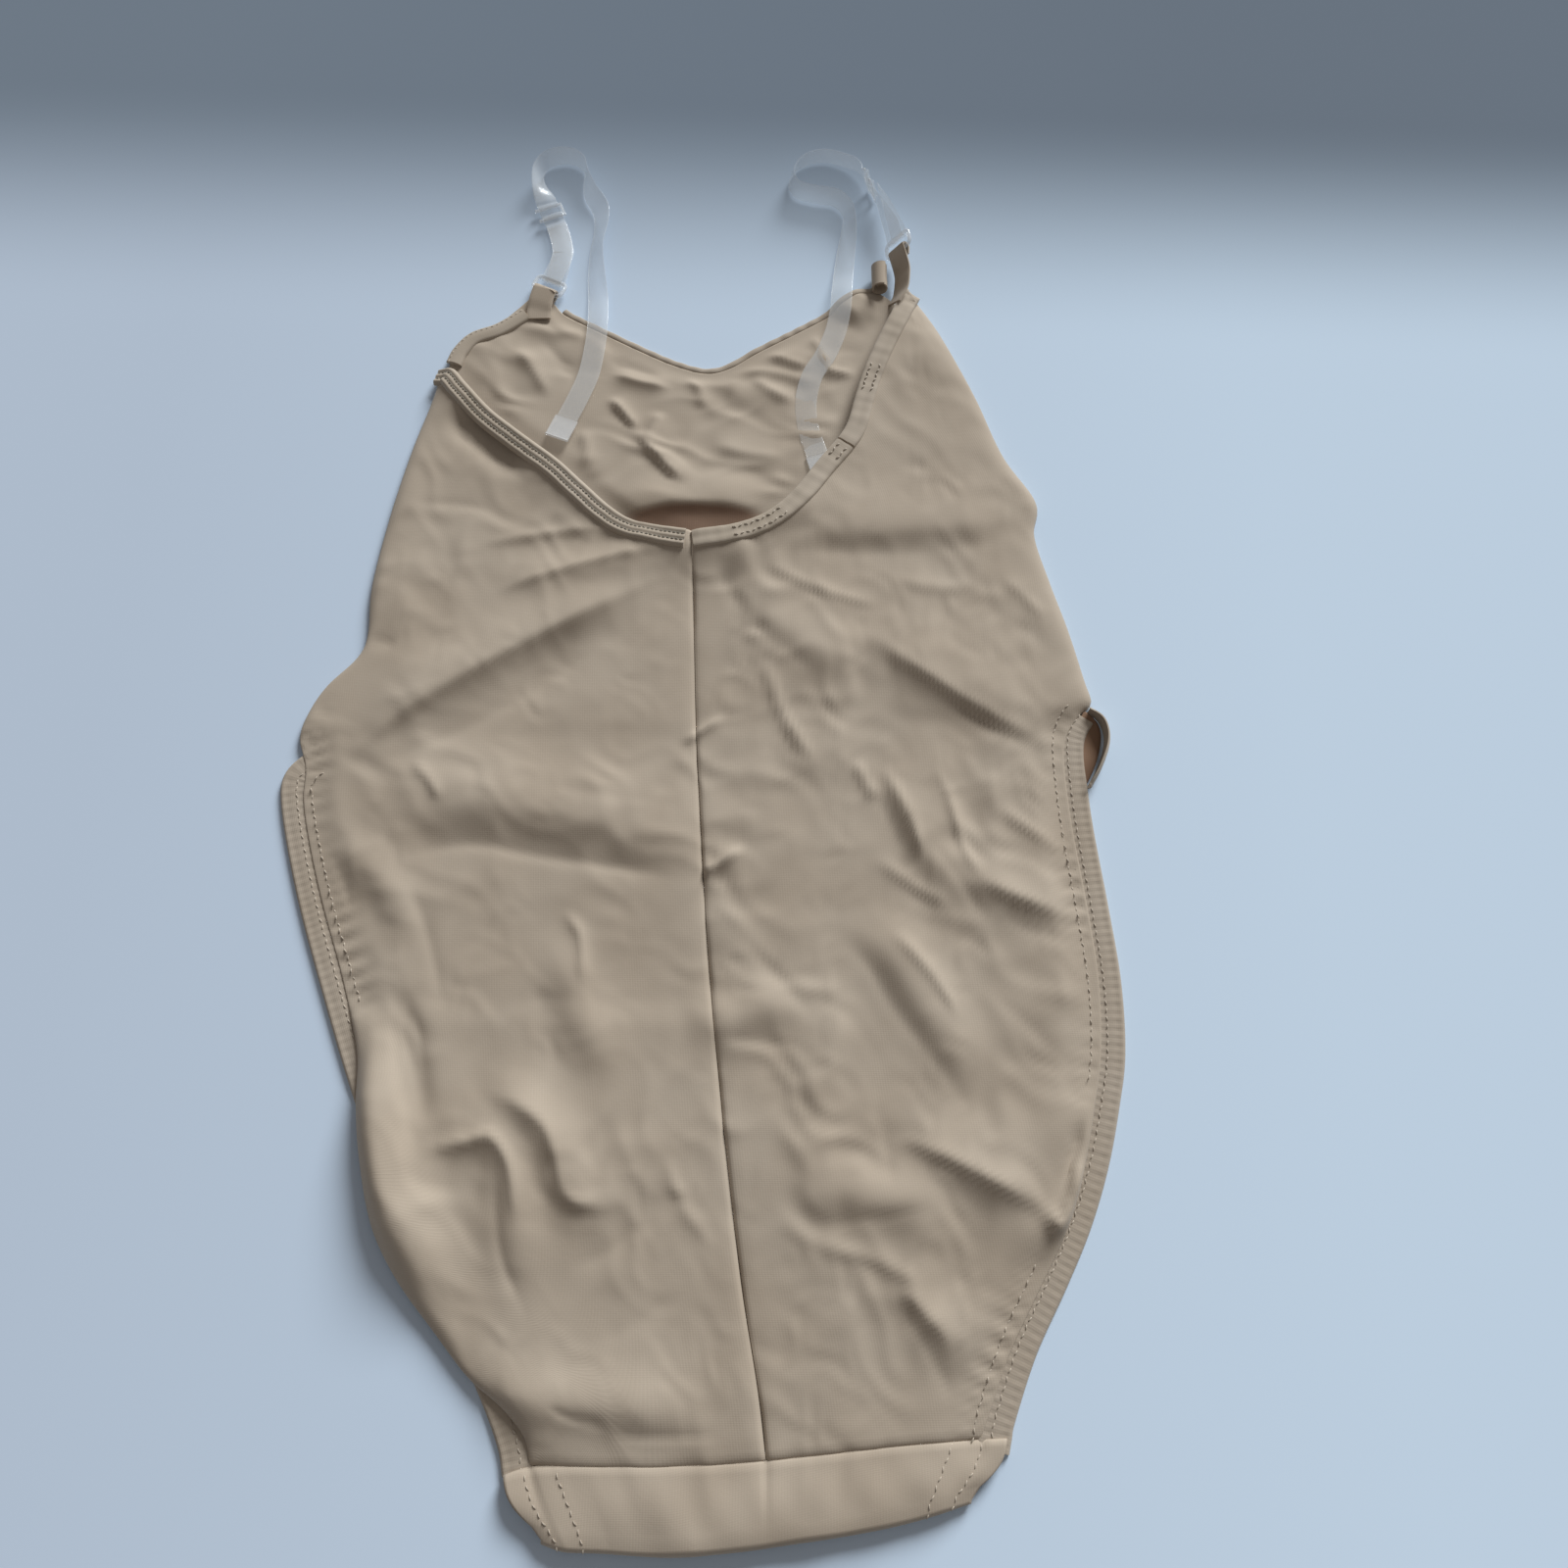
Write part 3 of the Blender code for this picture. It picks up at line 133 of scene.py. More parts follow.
# The finer creases of the back, in the same columns
FINE_CREASES = [
    (-0.6, 0.25, 0.4, [(-2.0, 37.5), (2.6, 37.4), (6.7, 37.5), (11.0, 38.2)]),
    (-1.2, 0.5, 0.9, [(-6.3, 34.1), (-12.0, 29.8), (-16.9, 27.3)]),
    (1.0, 0.3, 0.6, [(-4.7, 36.6), (-6.3, 35.5), (-12.2, 32.0), (-16.1, 29.3), (-18.6, 26.8)]),
    (0.8, 0.25, 0.35, [(-7.2, 38.5), (-10.2, 38.3), (-13.5, 37.7)]),
    (0.7, 0.2, 0.3, [(-4.7, 37.6), (-8.4, 36.7), (-12.7, 35.3)]),
    (-0.8, 0.2, 0.25, [(-12.6, 39.3), (-14.2, 39.8), (-16.4, 39.9)]),
    (-1.1, 0.3, 0.35, [(-20.1, 31.3), (-19.4, 30.3), (-18.3, 29.4)]),
    (-1.2, 0.3, 0.3, [(-17.8, 33.5), (-17.2, 33.2), (-16.2, 32.9)]),
    (-1.5, 0.3, 0.55, [(-15.6, 23.4), (-15.0, 23.7), (-12.5, 24.2), (-9.5, 23.7), (-5.8, 23.1), (-3.4, 22.6)]),
    (-1.3, 0.35, 0.45, [(-14.9, 23.1), (-13.7, 20.5), (-12.8, 17.6)]),
    (-1.0, 0.2, 0.3, [(-18.3, 24.2), (-17.4, 22.9), (-16.7, 21.2)]),
    (-1.9, 0.3, 0.35, [(-14.8, 17.6), (-14.1, 15.1), (-13.6, 13.5), (-13.1, 12.4)]),
    (1.3, 0.3, 0.3, [(-13.3, 12.6), (-11.5, 12.9), (-10.6, 13.1), (-9.9, 12.3), (-9.6, 11.2), (-9.5, 10.0)]),
    (-1.6, 0.3, 0.4, [(-10.9, 12.6), (-10.3, 12.0), (-10.2, 10.6), (-9.8, 8.8), (-8.8, 7.0)]),
    (-1.2, 0.5, 0.6, [(-13.8, 12.0), (-12.6, 11.4), (-11.4, 11.2)]),
    (1.1, 0.35, 0.4, [(-11.2, 14.8), (-9.7, 14.2), (-8.6, 13.4), (-8.2, 12.4), (-7.8, 11.2), (-6.8, 10.7),
                      (-5.3, 10.9)]),
    (-0.9, 0.4, 0.5, [(-7.6, 8.6), (-6.2, 9.2), (-5.2, 9.9), (-4.2, 10.2)]),
    (-0.8, 0.5, 0.6, [(-6.6, 6.2), (-5.0, 7.0), (-3.6, 8.0)]),
    (0.7, 0.3, 0.4, [(-4.4, 12.6), (-3.6, 10.8), (-2.6, 9.4)]),
    (-0.9, 0.15, 0.2, [(-8.1, 4.4), (-7.0, 4.0), (-5.8, 3.8)]),
    (-0.8, 0.15, 0.2, [(-6.0, 3.5), (-4.0, 3.45), (-1.9, 3.5)]),
    (0.9, 0.25, 0.25, [(-8.6, 21.6), (-7.8, 20.4), (-7.6, 18.4)]),
    (-0.7, 0.4, 0.5, [(-9.6, 18.6), (-8.8, 17.0), (-8.4, 15.0)]),
    (-0.8, 0.5, 0.7, [(-10.4, 26.9), (-8.0, 26.3), (-5.6, 26.0), (-4.2, 26.6)]),
    (0.8, 0.2, 0.3, [(-15.2, 27.8), (-14.3, 26.9), (-13.6, 25.8)]),
    (-0.6, 0.2, 0.3, [(-12.9, 28.0), (-12.4, 27.0), (-12.6, 26.0)]),
    (-1.5, 0.3, 0.5, [(-3.3, 37.3), (-1.4, 34.1), (0.3, 32.5), (1.8, 31.0)]),
    (0.9, 0.2, 0.3, [(-1.2, 37.0), (1.4, 35.6), (4.4, 34.6)]),
    (1.1, 0.25, 0.45, [(3.6, 33.0), (6.2, 31.2), (8.2, 29.8), (10.8, 28.5)]),
    (-1.2, 0.3, 0.4, [(6.4, 30.4), (8.8, 29.0), (11.0, 27.7)]),
    (1.0, 0.2, 0.2, [(-0.9, 32.4), (0.0, 29.7), (1.5, 27.2)]),
    (-0.9, 0.3, 0.4, [(-1.8, 30.4), (-0.8, 28.6), (0.2, 27.2)]),
    (1.0, 0.2, 0.2, [(2.8, 27.8), (3.2, 27.0), (3.7, 26.0)]),
    (1.2, 0.22, 0.28, [(3.9, 27.6), (5.0, 25.2), (5.5, 23.2)]),
    (-1.0, 0.2, 0.3, [(3.6, 26.6), (4.4, 24.9), (4.8, 23.6)]),
    (1.0, 0.2, 0.2, [(6.0, 27.6), (6.6, 26.2), (7.1, 24.0), (7.9, 22.5)]),
    (-1.1, 0.2, 0.3, [(5.7, 24.4), (7.2, 22.1), (8.0, 21.0)]),
    (0.9, 0.2, 0.3, [(3.4, 23.7), (5.2, 22.4), (6.8, 21.4)]),
    (1.0, 0.2, 0.3, [(7.3, 22.8), (9.4, 21.8), (11.7, 21.1)]),
    (-1.0, 0.2, 0.3, [(8.2, 21.5), (9.8, 20.6), (11.5, 20.3)]),
    (-1.5, 0.3, 0.9, [(1.6, 20.9), (3.1, 19.5), (4.1, 17.9), (5.4, 16.1), (6.4, 14.6), (7.2, 13.5)]),
    (1.0, 0.2, 0.3, [(3.9, 20.9), (5.6, 19.0), (6.8, 17.0)]),
    (-0.9, 0.25, 0.4, [(7.4, 18.6), (9.0, 17.2), (10.6, 15.6)]),
    (0.8, 0.2, 0.3, [(10.2, 28.8), (10.9, 28.2), (11.5, 27.7)]),
    (-0.9, 0.2, 0.25, [(9.2, 26.7), (10.4, 25.6), (11.4, 24.8)]),
    (0.9, 0.2, 0.25, [(8.3, 25.8), (10.0, 24.6), (11.5, 23.6)]),
    (-0.8, 0.2, 0.2, [(9.6, 23.4), (10.6, 23.0), (11.5, 22.8)]),
    (1.2, 0.25, 0.4, [(4.0, 13.2), (6.6, 12.0), (9.5, 10.5)]),
    (-1.0, 0.3, 0.4, [(3.5, 13.8), (3.7, 12.6), (3.9, 11.4)]),
    (-1.0, 0.3, 0.4, [(0.9, 10.1), (3.2, 10.3), (5.8, 10.7)]),
    (0.8, 0.3, 0.5, [(0.9, 9.6), (3.2, 8.9), (5.3, 8.0)]),
    (0.9, 0.2, 0.3, [(3.9, 8.1), (4.9, 7.2), (5.9, 6.0)]),
    (-0.9, 0.25, 0.35, [(3.8, 7.8), (4.9, 6.2), (5.9, 4.2)]),
    (-3.0, 0.2, 0.22, [(11.0, 13.9), (10.6, 12.8), (10.2, 11.8), (10.0, 10.8)]),
    (1.5, 0.22, 0.22, [(9.3, 11.0), (9.6, 10.2), (10.1, 9.9), (10.6, 10.6), (10.85, 11.6), (11.0, 12.7)]),
    (-0.8, 0.3, 0.4, [(8.7, 9.0), (8.0, 7.6), (7.2, 6.4)]),
    (-1.1, 0.25, 0.4, [(-2.6, 16.7), (-1.0, 16.45), (0.8, 16.3)]),
    (-1.1, 0.3, 0.4, [(-1.9, 20.6), (-0.2, 18.9), (1.4, 17.0)]),
    (-0.7, 0.4, 0.5, [(-0.8, 13.8), (0.2, 13.2), (1.3, 12.8)]),
    (-0.7, 0.5, 0.6, [(-1.4, 6.6), (-0.6, 6.1), (0.4, 5.8)]),
    (1.2, 0.2, 0.2, [(-4.2, 28.4), (-3.4, 29.0), (-2.4, 29.7)]),
    (1.8, 0.25, 0.25, [(-3.3, 23.0), (-2.5, 23.4), (-1.6, 24.1)]),
    (-1.2, 0.25, 0.25, [(-3.2, 24.4), (-2.4, 22.7), (-1.8, 22.0)]),
    (-0.8, 0.2, 0.3, [(6.1, 41.0), (7.2, 40.8), (8.2, 41.1)]),
    (-0.7, 0.2, 0.25, [(5.0, 41.9), (6.0, 41.8), (7.0, 42.1)]),
    (0.8, 0.3, 0.4, [(9.2, 36.2), (10.2, 35.2), (11.2, 33.9)]),
    (-0.8, 0.3, 0.4, [(8.2, 34.9), (9.6, 34.0), (11.6, 32.4)]),
    (0.7, 0.3, 0.5, [(4.4, 36.2), (6.4, 35.6), (8.6, 35.7)]),
]
# Creases of the front's inner face, first the ridge in the pocket under the scoop, and last the right peak
FRONT_CREASES = [
    (3.4, 0.4, 1.3, [(-7.6, 39.5), (-5.8, 39.95), (-3.7, 40.1), (-1.5, 39.95), (-0.4, 39.7)]),
    (1.8, 0.22, 0.5, [(-6.8, 43.8), (-5.5, 42.2), (-4.4, 40.9)]),
    (-1.0, 0.25, 0.3, [(-6.4, 43.0), (-5.3, 41.6), (-4.6, 40.8)]),
    (1.5, 0.2, 0.35, [(-8.1, 45.8), (-7.3, 44.8), (-6.6, 43.8)]),
    (-0.9, 0.25, 0.3, [(-7.9, 45.2), (-7.2, 44.3), (-6.7, 43.7)]),
    (1.0, 0.25, 0.35, [(-6.2, 43.2), (-5.9, 44.1), (-5.6, 45.0)]),
    (0.9, 0.3, 0.4, [(-9.2, 44.1), (-8.9, 42.9), (-8.8, 41.8)]),
    (1.2, 0.3, 0.45, [(-1.2, 48.4), (0.2, 47.7), (1.4, 47.2)]),
    (1.2, 0.25, 0.35, [(1.8, 47.2), (2.8, 47.0), (3.6, 47.0)]),
    (1.1, 0.3, 0.5, [(-1.6, 46.9), (-0.6, 46.0), (0.6, 45.3)]),
    (-1.4, 0.35, 0.5, [(-8.3, 47.9), (-6.9, 47.3), (-5.5, 46.8)]),
    (1.3, 0.35, 0.5, [(-8.1, 47.1), (-6.6, 46.5), (-5.1, 46.2)]),
    (-1.4, 0.35, 0.4, [(-11.5, 49.2), (-10.4, 47.8), (-9.3, 46.3)]),
    (1.1, 0.3, 0.5, [(-12.6, 48.6), (-11.5, 47.0), (-10.8, 45.6)]),
    (-1.2, 0.25, 0.3, [(-12.0, 50.4), (-11.2, 49.9), (-10.4, 49.1)]),
    (1.0, 0.3, 0.4, [(-4.6, 46.9), (-3.9, 46.1), (-3.7, 45.0)]),
    (-0.8, 0.3, 0.4, [(-2.4, 46.4), (-2.9, 45.1), (-3.9, 43.8)]),
    (0.9, 0.5, 0.6, [(-3.4, 43.2), (-1.8, 42.6), (0.2, 42.4)]),
    (-0.7, 0.4, 0.5, [(-2.2, 41.9), (-0.6, 41.6), (0.6, 41.9)]),
    (1.0, 0.3, 0.4, [(1.2, 49.4), (1.8, 48.0), (2.2, 46.4)]),
    (4.0, 0.9, 0.9, [(2.6, 50.0), (3.4, 51.0), (4.0, 52.0)]),
]
# How far the scoop's edge stands off the front: share of its length from the side, mm
LEFT_SCOOP_LIFT = [(0.0, 1.0), (0.15, 3.2), (0.35, 4.6), (0.6, 3.2), (0.8, 3.8), (1.0, 4.6)]
RIGHT_SCOOP_LIFT = [(0.0, 4.6), (0.15, 4.0), (0.35, 3.2), (0.6, 2.8), (0.85, 2.8), (1.0, 0.6)]
# Each back panel's leg top and how fast its cloth swells from the leg band, in cm
LEG_TOP = {"left": (28.6, 0.9), "right": (29.3, 0.5)}


def unit(*values):
    """A direction of length 1."""
    values = np.array(values, float)
    return values / np.linalg.norm(values)


# The clear rings: middle in table units, the way along their long side and the way to their strap
RINGS = {
    "left": ((-11.2, 52.05, 3.0), unit(0.906, -0.42, 0), unit(0.42, 0.906, 0)),
    "right": ((5.45, 54.05, 8.4), unit(0.62, 0.0, 0.78), unit(-0.12, 0.985, 0.1)),
}
# The clear straps from the hook to the ring: x, y, height of the lower edge in mm, turn in degrees
STRAPS = {
    "left": [(-9.85, 44.45, 3.6, 0), (-9.4, 45.6, 3.8, 0), (-9.0, 46.9, 3.8, 0), (-8.8, 48.5, 3.6, 4),
             (-8.75, 49.8, 3.2, 8), (-8.85, 51.4, 0.6, 12), (-9.0, 52.9, 0.3, 30), (-9.05, 54.3, 0.3, 44),
             (-8.9, 55.7, 0.3, 40), (-9.0, 56.8, 0.3, 34), (-9.55, 57.8, 0.3, 50), (-9.8, 58.7, 0.3, 72),
             (-9.9, 59.4, 0.3, 84), (-10.4, 59.9, 0.3, 86), (-11.1, 60.0, 0.3, 86), (-11.8, 59.7, 0.3, 84),
             (-12.15, 59.0, 0.3, 72), (-12.05, 58.2, 0.6, 46), (-11.75, 57.4, 2.0, 6), (-11.45, 56.6, 2.4, 0),
             (-11.1, 55.8, 2.6, 0), (-10.82, 54.9, 3.2, 0), (-10.66, 54.05, 4.0, 0), (-10.74, 53.3, 4.4, 0)],
    "right": [(1.5, 42.6, 2.0, 0), (1.1, 44.0, 2.0, 0), (1.0, 45.4, 2.4, 0), (1.3, 46.8, 3.4, 0),
              (1.9, 47.9, 3.6, 0), (2.4, 49.2, 4.2, 0), (2.65, 50.4, 5.0, 4), (2.75, 51.6, 4.6, 8),
              (2.85, 52.8, 1.2, 16), (3.0, 54.2, 0.3, 26), (3.15, 55.5, 0.3, 44), (3.1, 56.6, 0.3, 66),
              (2.5, 57.3, 0.3, 80), (1.5, 57.5, 0.3, 80), (0.6, 57.9, 0.3, 78), (0.4, 58.8, 0.3, 74),
              (1.0, 59.7, 0.3, 76), (2.0, 60.0, 0.3, 78), (3.0, 59.7, 0.6, 78), (3.65, 59.25, 1.6, 76),
              (3.95, 58.7, 2.2, 74), (4.2, 57.95, 2.3, 74), (4.45, 57.2, 2.4, 76), (4.7, 56.45, 3.0, 92),
              (5.02, 55.5, 4.0, 112), (5.18, 54.98, 5.2, 124)],
}
# Where each strap passes its slider: x, y
SLIDER_AT = {"left": (-11.45, 56.6), "right": (4.2, 57.95)}


# Lines and shapes

def resample(line, count):
    """Points at even steps along a line of x and y in cm, and of z in mm where it has one."""
    weights = np.array([10, 10, 1, 0])[:line.shape[1]]
    steps = np.linalg.norm(np.diff(line, axis=0) * weights, axis=1)
    run = np.concatenate([[0], np.cumsum(steps)])
    places = np.linspace(0, run[-1], count)
    return np.stack([np.interp(places, run, line[:, k]) for k in range(line.shape[1])], axis=-1)


def smooth(points, count=120):
    """A Catmull-Rom curve through the points, as evenly spaced points."""
    p = np.array(points, float)
    p = np.vstack([2 * p[0] - p[1], p, 2 * p[-1] - p[-2]])
    t = np.linspace(0, 1, 12, endpoint=False)[:, None]
    runs = []
    for a, b, c, d in zip(p, p[1:], p[2:], p[3:]):
        rise = (c - a) * t + (2 * a - 5 * b + 4 * c - d) * t**2 + (3 * b - a - 3 * c + d) * t**3
        runs.append(b + 0.5 * rise)
    return resample(np.vstack(runs + [p[-2:-1]]), count)


def along(line, share):
    """The points of an evenly spaced line at these shares of its length."""
    place_on = np.asarray(share) * (len(line) - 1)
    steps = np.arange(len(line))
    return np.stack([np.interp(place_on, steps, line[:, k]) for k in range(line.shape[1])], axis=-1)


def length_of(line):
    """The length of a line of x and y, in its own units."""
    return float(np.linalg.norm(np.diff(line[:, :2], axis=0), axis=1).sum())


def nearest(points, line):
    """Distance to a line, signed positive on its left, and the share of its length reached there."""
    shape = points.shape[:-1]
    p = points.reshape(-1, 1, 2)
    start, run = line[:-1], np.diff(line, axis=0)
    share = np.clip(((p - start) * run).sum(-1) / (run * run).sum(-1), 0, 1)
    away = p - (start + share[..., None] * run)
    length = np.linalg.norm(away, axis=-1)
    best = length.argmin(axis=1)
    rows = np.arange(len(p))
    away, run = away[rows, best], run[best]
    sign = np.sign(run[:, 0] * away[:, 1] - run[:, 1] * away[:, 0])
    place_on = (best + share[rows, best]) / len(start)
    return (sign * length[rows, best]).reshape(shape), place_on.reshape(shape)


def quarter(share):
    """Rises from 0 to 1 as a quarter circle."""
    share = np.clip(share, 0, 1)
    return np.sqrt(1 - (1 - share) ** 2)


def ease(share):
    """Rises smoothly from 0 to 1."""
    share = np.clip(share, 0, 1)
    return share * share * (3 - 2 * share)


def crease(points, row):
    """One soft ridge, or a trough where its height is below 0, which fades out at both its ends."""
    height, near, far, line = row
    away, place_on = nearest(points, smooth(line, 24))
    upward = line[0][0] < line[-1][0]
    width = np.where(away > 0, far if upward else near, near if upward else far)
    return height * np.exp(-((away / width) ** 2)) * ease(place_on / 0.35) * ease((1 - place_on) / 0.35)


def fold_line(points, row):
    """One fold with a thin crest and soft slopes, which fades out at both its ends."""
    height, near, far, line = row
    away, place_on = nearest(points, smooth(line, 24))
    upward = line[0][0] < line[-1][0]
    width = np.where(away > 0, far if upward else near, near if upward else far)
    drop = np.sqrt((away / width) ** 2 + CREST_ROUND ** 2) - CREST_ROUND
    lift = FOLD_LIFT * max(height, 0) + HOLLOW_LIFT * min(height, 0)
    return lift * np.exp(-1.5 * drop) * ease(place_on / 0.3) * ease((1 - place_on) / 0.3)


def crumple(points, seed, size, height, waves=5):
    """Small wrinkles at random: thin crests that wander between flat facets about size cm wide."""
    draw = np.random.RandomState(seed)
    bent = points + np.stack([ripple(points, seed + 1, 2.1 * size, 0.3 * size),
                              ripple(points, seed + 2, 1.7 * size, 0.3 * size)], axis=-1)
    total = 0
    for _ in range(waves):
        angle, pace, start = draw.uniform(0, math.pi), draw.uniform(0.6, 1.5), draw.uniform(0, 6)
        turned = bent[..., 0] * math.cos(angle) + bent[..., 1] * math.sin(angle)
        crest = np.abs(np.sin(math.pi * turned * pace / size + start))
        total = total + 1 - np.sqrt(crest ** 2 + 0.03)
    uneven = 0.55 + 0.45 * np.tanh(ripple(points, seed + 5, 4.5 * size, 1.6))
    return total / waves * height * uneven


def ripple(points, seed, size, height, waves=7):
    """A low uneven swell: a few waves about size cm long, each with its own way across the cloth."""
    draw = np.random.RandomState(seed)
    total = 0
    for _ in range(waves):
        angle, pace, start = draw.uniform(0, math.pi), draw.uniform(0.7, 1.6), draw.uniform(0, 6)
        turned = points[..., 0] * math.cos(angle) + points[..., 1] * math.sin(angle)
        total = total + np.sin(2 * math.pi * turned * pace / size + start)
    return total * height / waves ** 0.5


def coons(bottom, top, left, right, u, v):
    """A patch between four lines, at the shares u across and v up."""
    u, v = np.asarray(u)[..., None], np.asarray(v)[..., None]
    across = (1 - v) * along(bottom, u[..., 0]) + v * along(top, u[..., 0])
    up = (1 - u) * along(left, v[..., 0]) + u * along(right, v[..., 0])
    corners = ((1 - u) * (1 - v) * bottom[0] + u * (1 - v) * bottom[-1]
               + (1 - u) * v * top[0] + u * v * top[-1])
    return across + up - corners


def spaced(length, near, far, count):
    """Shares of a length with close steps at both ends and even ones between."""
    inner = np.linspace(near[-1], length - far[-1], count + 2)[1:-1]
    return np.concatenate([near, inner, length - np.array(far)[::-1]]) / length


def panel_grid(lines, near, far, low, high, across, up):
    """Points of a panel between its four lines, with rows and columns at set distances from its ends."""
    columns = len(near) + across + len(far)
    rows = len(low) + up + len(high)
    v = np.linspace(0, 1, rows)[None, :] * np.ones((columns, 1))
    for _ in range(2):
        sides = coons(*lines, np.stack([0 * v[0], 0 * v[0] + 1]), np.stack([v[0], v[0]]))
        widths = np.linalg.norm(sides[1] - sides[0], axis=-1)
        u = np.stack([spaced(max(w, 1.0), near, far, across) for w in widths], axis=1)
        middle = u[:, rows // 2]
        feet = coons(*lines, middle, 0 * middle)
        heads = coons(*lines, middle, 0 * middle + 1)
        heights = np.linalg.norm(heads - feet, axis=-1)
        v = np.stack([spaced(h, low, high, up) for h in heights])
    return coons(*lines, u, v)


def place(points):
    """Table centimetres and millimetres of height to metres about the origin."""
    points = np.asarray(points, float)
    return np.stack([(points[..., 0] - MIDDLE_X) * CM, (points[..., 1] - MIDDLE_Y) * CM,
                     points[..., 2] * MM], axis=-1)


def raised(xy, z):
    """Points of x and y with their heights added."""
    return np.concatenate([xy, z[..., None]], axis=-1)


def level_sides(line, turn=0.0):
    """The way across a line seen from above, turned about the line by some degrees."""
    run = np.gradient(line[:, :2], axis=0)
    run /= np.linalg.norm(run, axis=1)[:, None]
    turn = np.radians(turn) * np.ones(len(line))
    return np.stack([run[:, 1] * np.cos(turn), -run[:, 0] * np.cos(turn), np.sin(turn)], axis=-1)


def offset(line, distance):
    """A line moved to its right by a distance."""
    run = np.gradient(line, axis=0)
    run /= np.linalg.norm(run, axis=1)[:, None]
    return line + distance * np.stack([run[:, 1], -run[:, 0]], axis=-1)


# Meshes

def mesh_object(name, points, faces, corner_uv, materials, smooth_angle=60):
    """A finished object at the origin, with its own UV map in centimetres."""
    data = bpy.data.meshes.new(name)
    data.from_pydata(points.tolist(), [], faces)
    layer = data.uv_layers.new(name="cloth")
    layer.data.foreach_set("uv", np.asarray(corner_uv, np.float32).ravel())
    for one in materials:
        data.materials.append(one)
    data.validate()
    data.shade_smooth()
    data.set_sharp_from_angle(angle=math.radians(smooth_angle))
    obj = bpy.data.objects.new(name, data)
    bpy.context.scene.collection.objects.link(obj)
    return obj


def applied(obj):
    """The object with its modifiers made part of its mesh."""
    bpy.ops.object.select_all(action="DESELECT")
    bpy.context.view_layer.objects.active = obj
    obj.select_set(True)
    for modifier in list(obj.modifiers):
        bpy.ops.object.modifier_apply(modifier=modifier.name)
    return obj


def cloth_sheet(name, over, uv, look, wall=CLOTH):
    """A thin shell of cloth whose outer face is a grid of points in table units."""
    columns, rows = over.shape[:2]
    index = np.arange(columns * rows).reshape(columns, rows)
    quads = np.stack([index[:-1, :-1], index[1:, :-1], index[1:, 1:], index[:-1, 1:]], axis=-1).reshape(-1, 4)
    corner_uv = uv.reshape(-1, 2)[quads.ravel()]
    obj = mesh_object(name, place(over).reshape(-1, 3), quads.tolist(), corner_uv, [look])
    shell = obj.modifiers.new("wall", "SOLIDIFY")
    shell.thickness = wall * MM
    shell.offset = -1
    return applied(obj)


def swept(name, rings, around, run, look, smooth_angle=60):
    """A closed tube of any section through rings of points in metres, with UVs round it and along it."""
    count, sides = rings.shape[:2]
    index = np.arange(count * sides).reshape(count, sides)
    after = np.roll(index, -1, axis=1)
    quads = np.stack([index[:-1], after[:-1], after[1:], index[1:]], axis=-1).reshape(-1, 4)
    u = np.broadcast_to(np.stack([around[:-1], around[1:], around[1:], around[:-1]], axis=-1),
                        (count - 1, sides, 4))
    v = np.broadcast_to(np.stack([run[:-1], run[:-1], run[1:], run[1:]], axis=-1)[:, None],
                        (count - 1, sides, 4))
    uv = np.stack([u, v], axis=-1).reshape(-1, 2)
    ends = [index[0][::-1].tolist(), index[-1].tolist()]
    cap = np.stack([around[:-1], 0 * around[:-1]], axis=-1)
    uv = np.vstack([uv, cap[::-1], cap + [0, run[-1]]])
    return mesh_object(name, rings.reshape(-1, 3), quads.tolist() + ends, uv, [look], smooth_angle)


def band_section(width, top, ribs=0, rib_height=0.0, under=0.0, steps=26):
    """A band's section: across in cm and up in mm, rounded at its sides, with ribs on its face."""
    t = np.linspace(0, 1, steps)
    x = (t - 0.5) * width
    edge = np.minimum(t, 1 - t) * width
    z = top * (0.35 + 0.65 * quarter(edge / 0.16))
    if ribs:
        z = z + rib_height * (0.5 - 0.5 * np.cos(2 * math.pi * ribs * t)) * ease(edge / 0.05)
    low = np.linspace(1, 0, 6)[1:-1]
    face = np.stack([x, z], axis=-1)
    back = np.stack([(low - 0.5) * width, 0 * low + under], axis=-1)
    feet = [[width / 2, under], ], [[-width / 2, under]]
    return np.vstack([face, feet[0], back, feet[1]])


def swept_band(name, middle, side, section, look, flip=False, extra=None):
    """A section swept along a line in table units, lying across side; extra adds to the heights of its face."""
    metres = place(middle)
    tangent = np.gradient(metres, axis=0)
    tangent /= np.linalg.norm(tangent, axis=1)[:, None]
    side = side - (side * tangent).sum(1)[:, None] * tangent
    side /= np.linalg.norm(side, axis=1)[:, None]
    up = np.cross(side, tangent)
    heights = np.broadcast_to(section[:, 1], (len(middle), len(section))).copy()
    if extra is not None:
        heights = heights + extra
    rings = (metres[:, None] + side[:, None] * section[:, 0][None, :, None] * CM
             + up[:, None] * heights[..., None] * MM)
    closed = np.vstack([section, section[:1]]) * [1, 0.1]
    around = np.concatenate([[0], np.cumsum(np.linalg.norm(np.diff(closed, axis=0), axis=1))])
    run = np.concatenate([[0], np.cumsum(np.linalg.norm(np.diff(metres, axis=0), axis=1))]) / CM
    if flip:
        rings = rings[:, ::-1]
    return swept(name, rings, around, run, look)


# Stitches

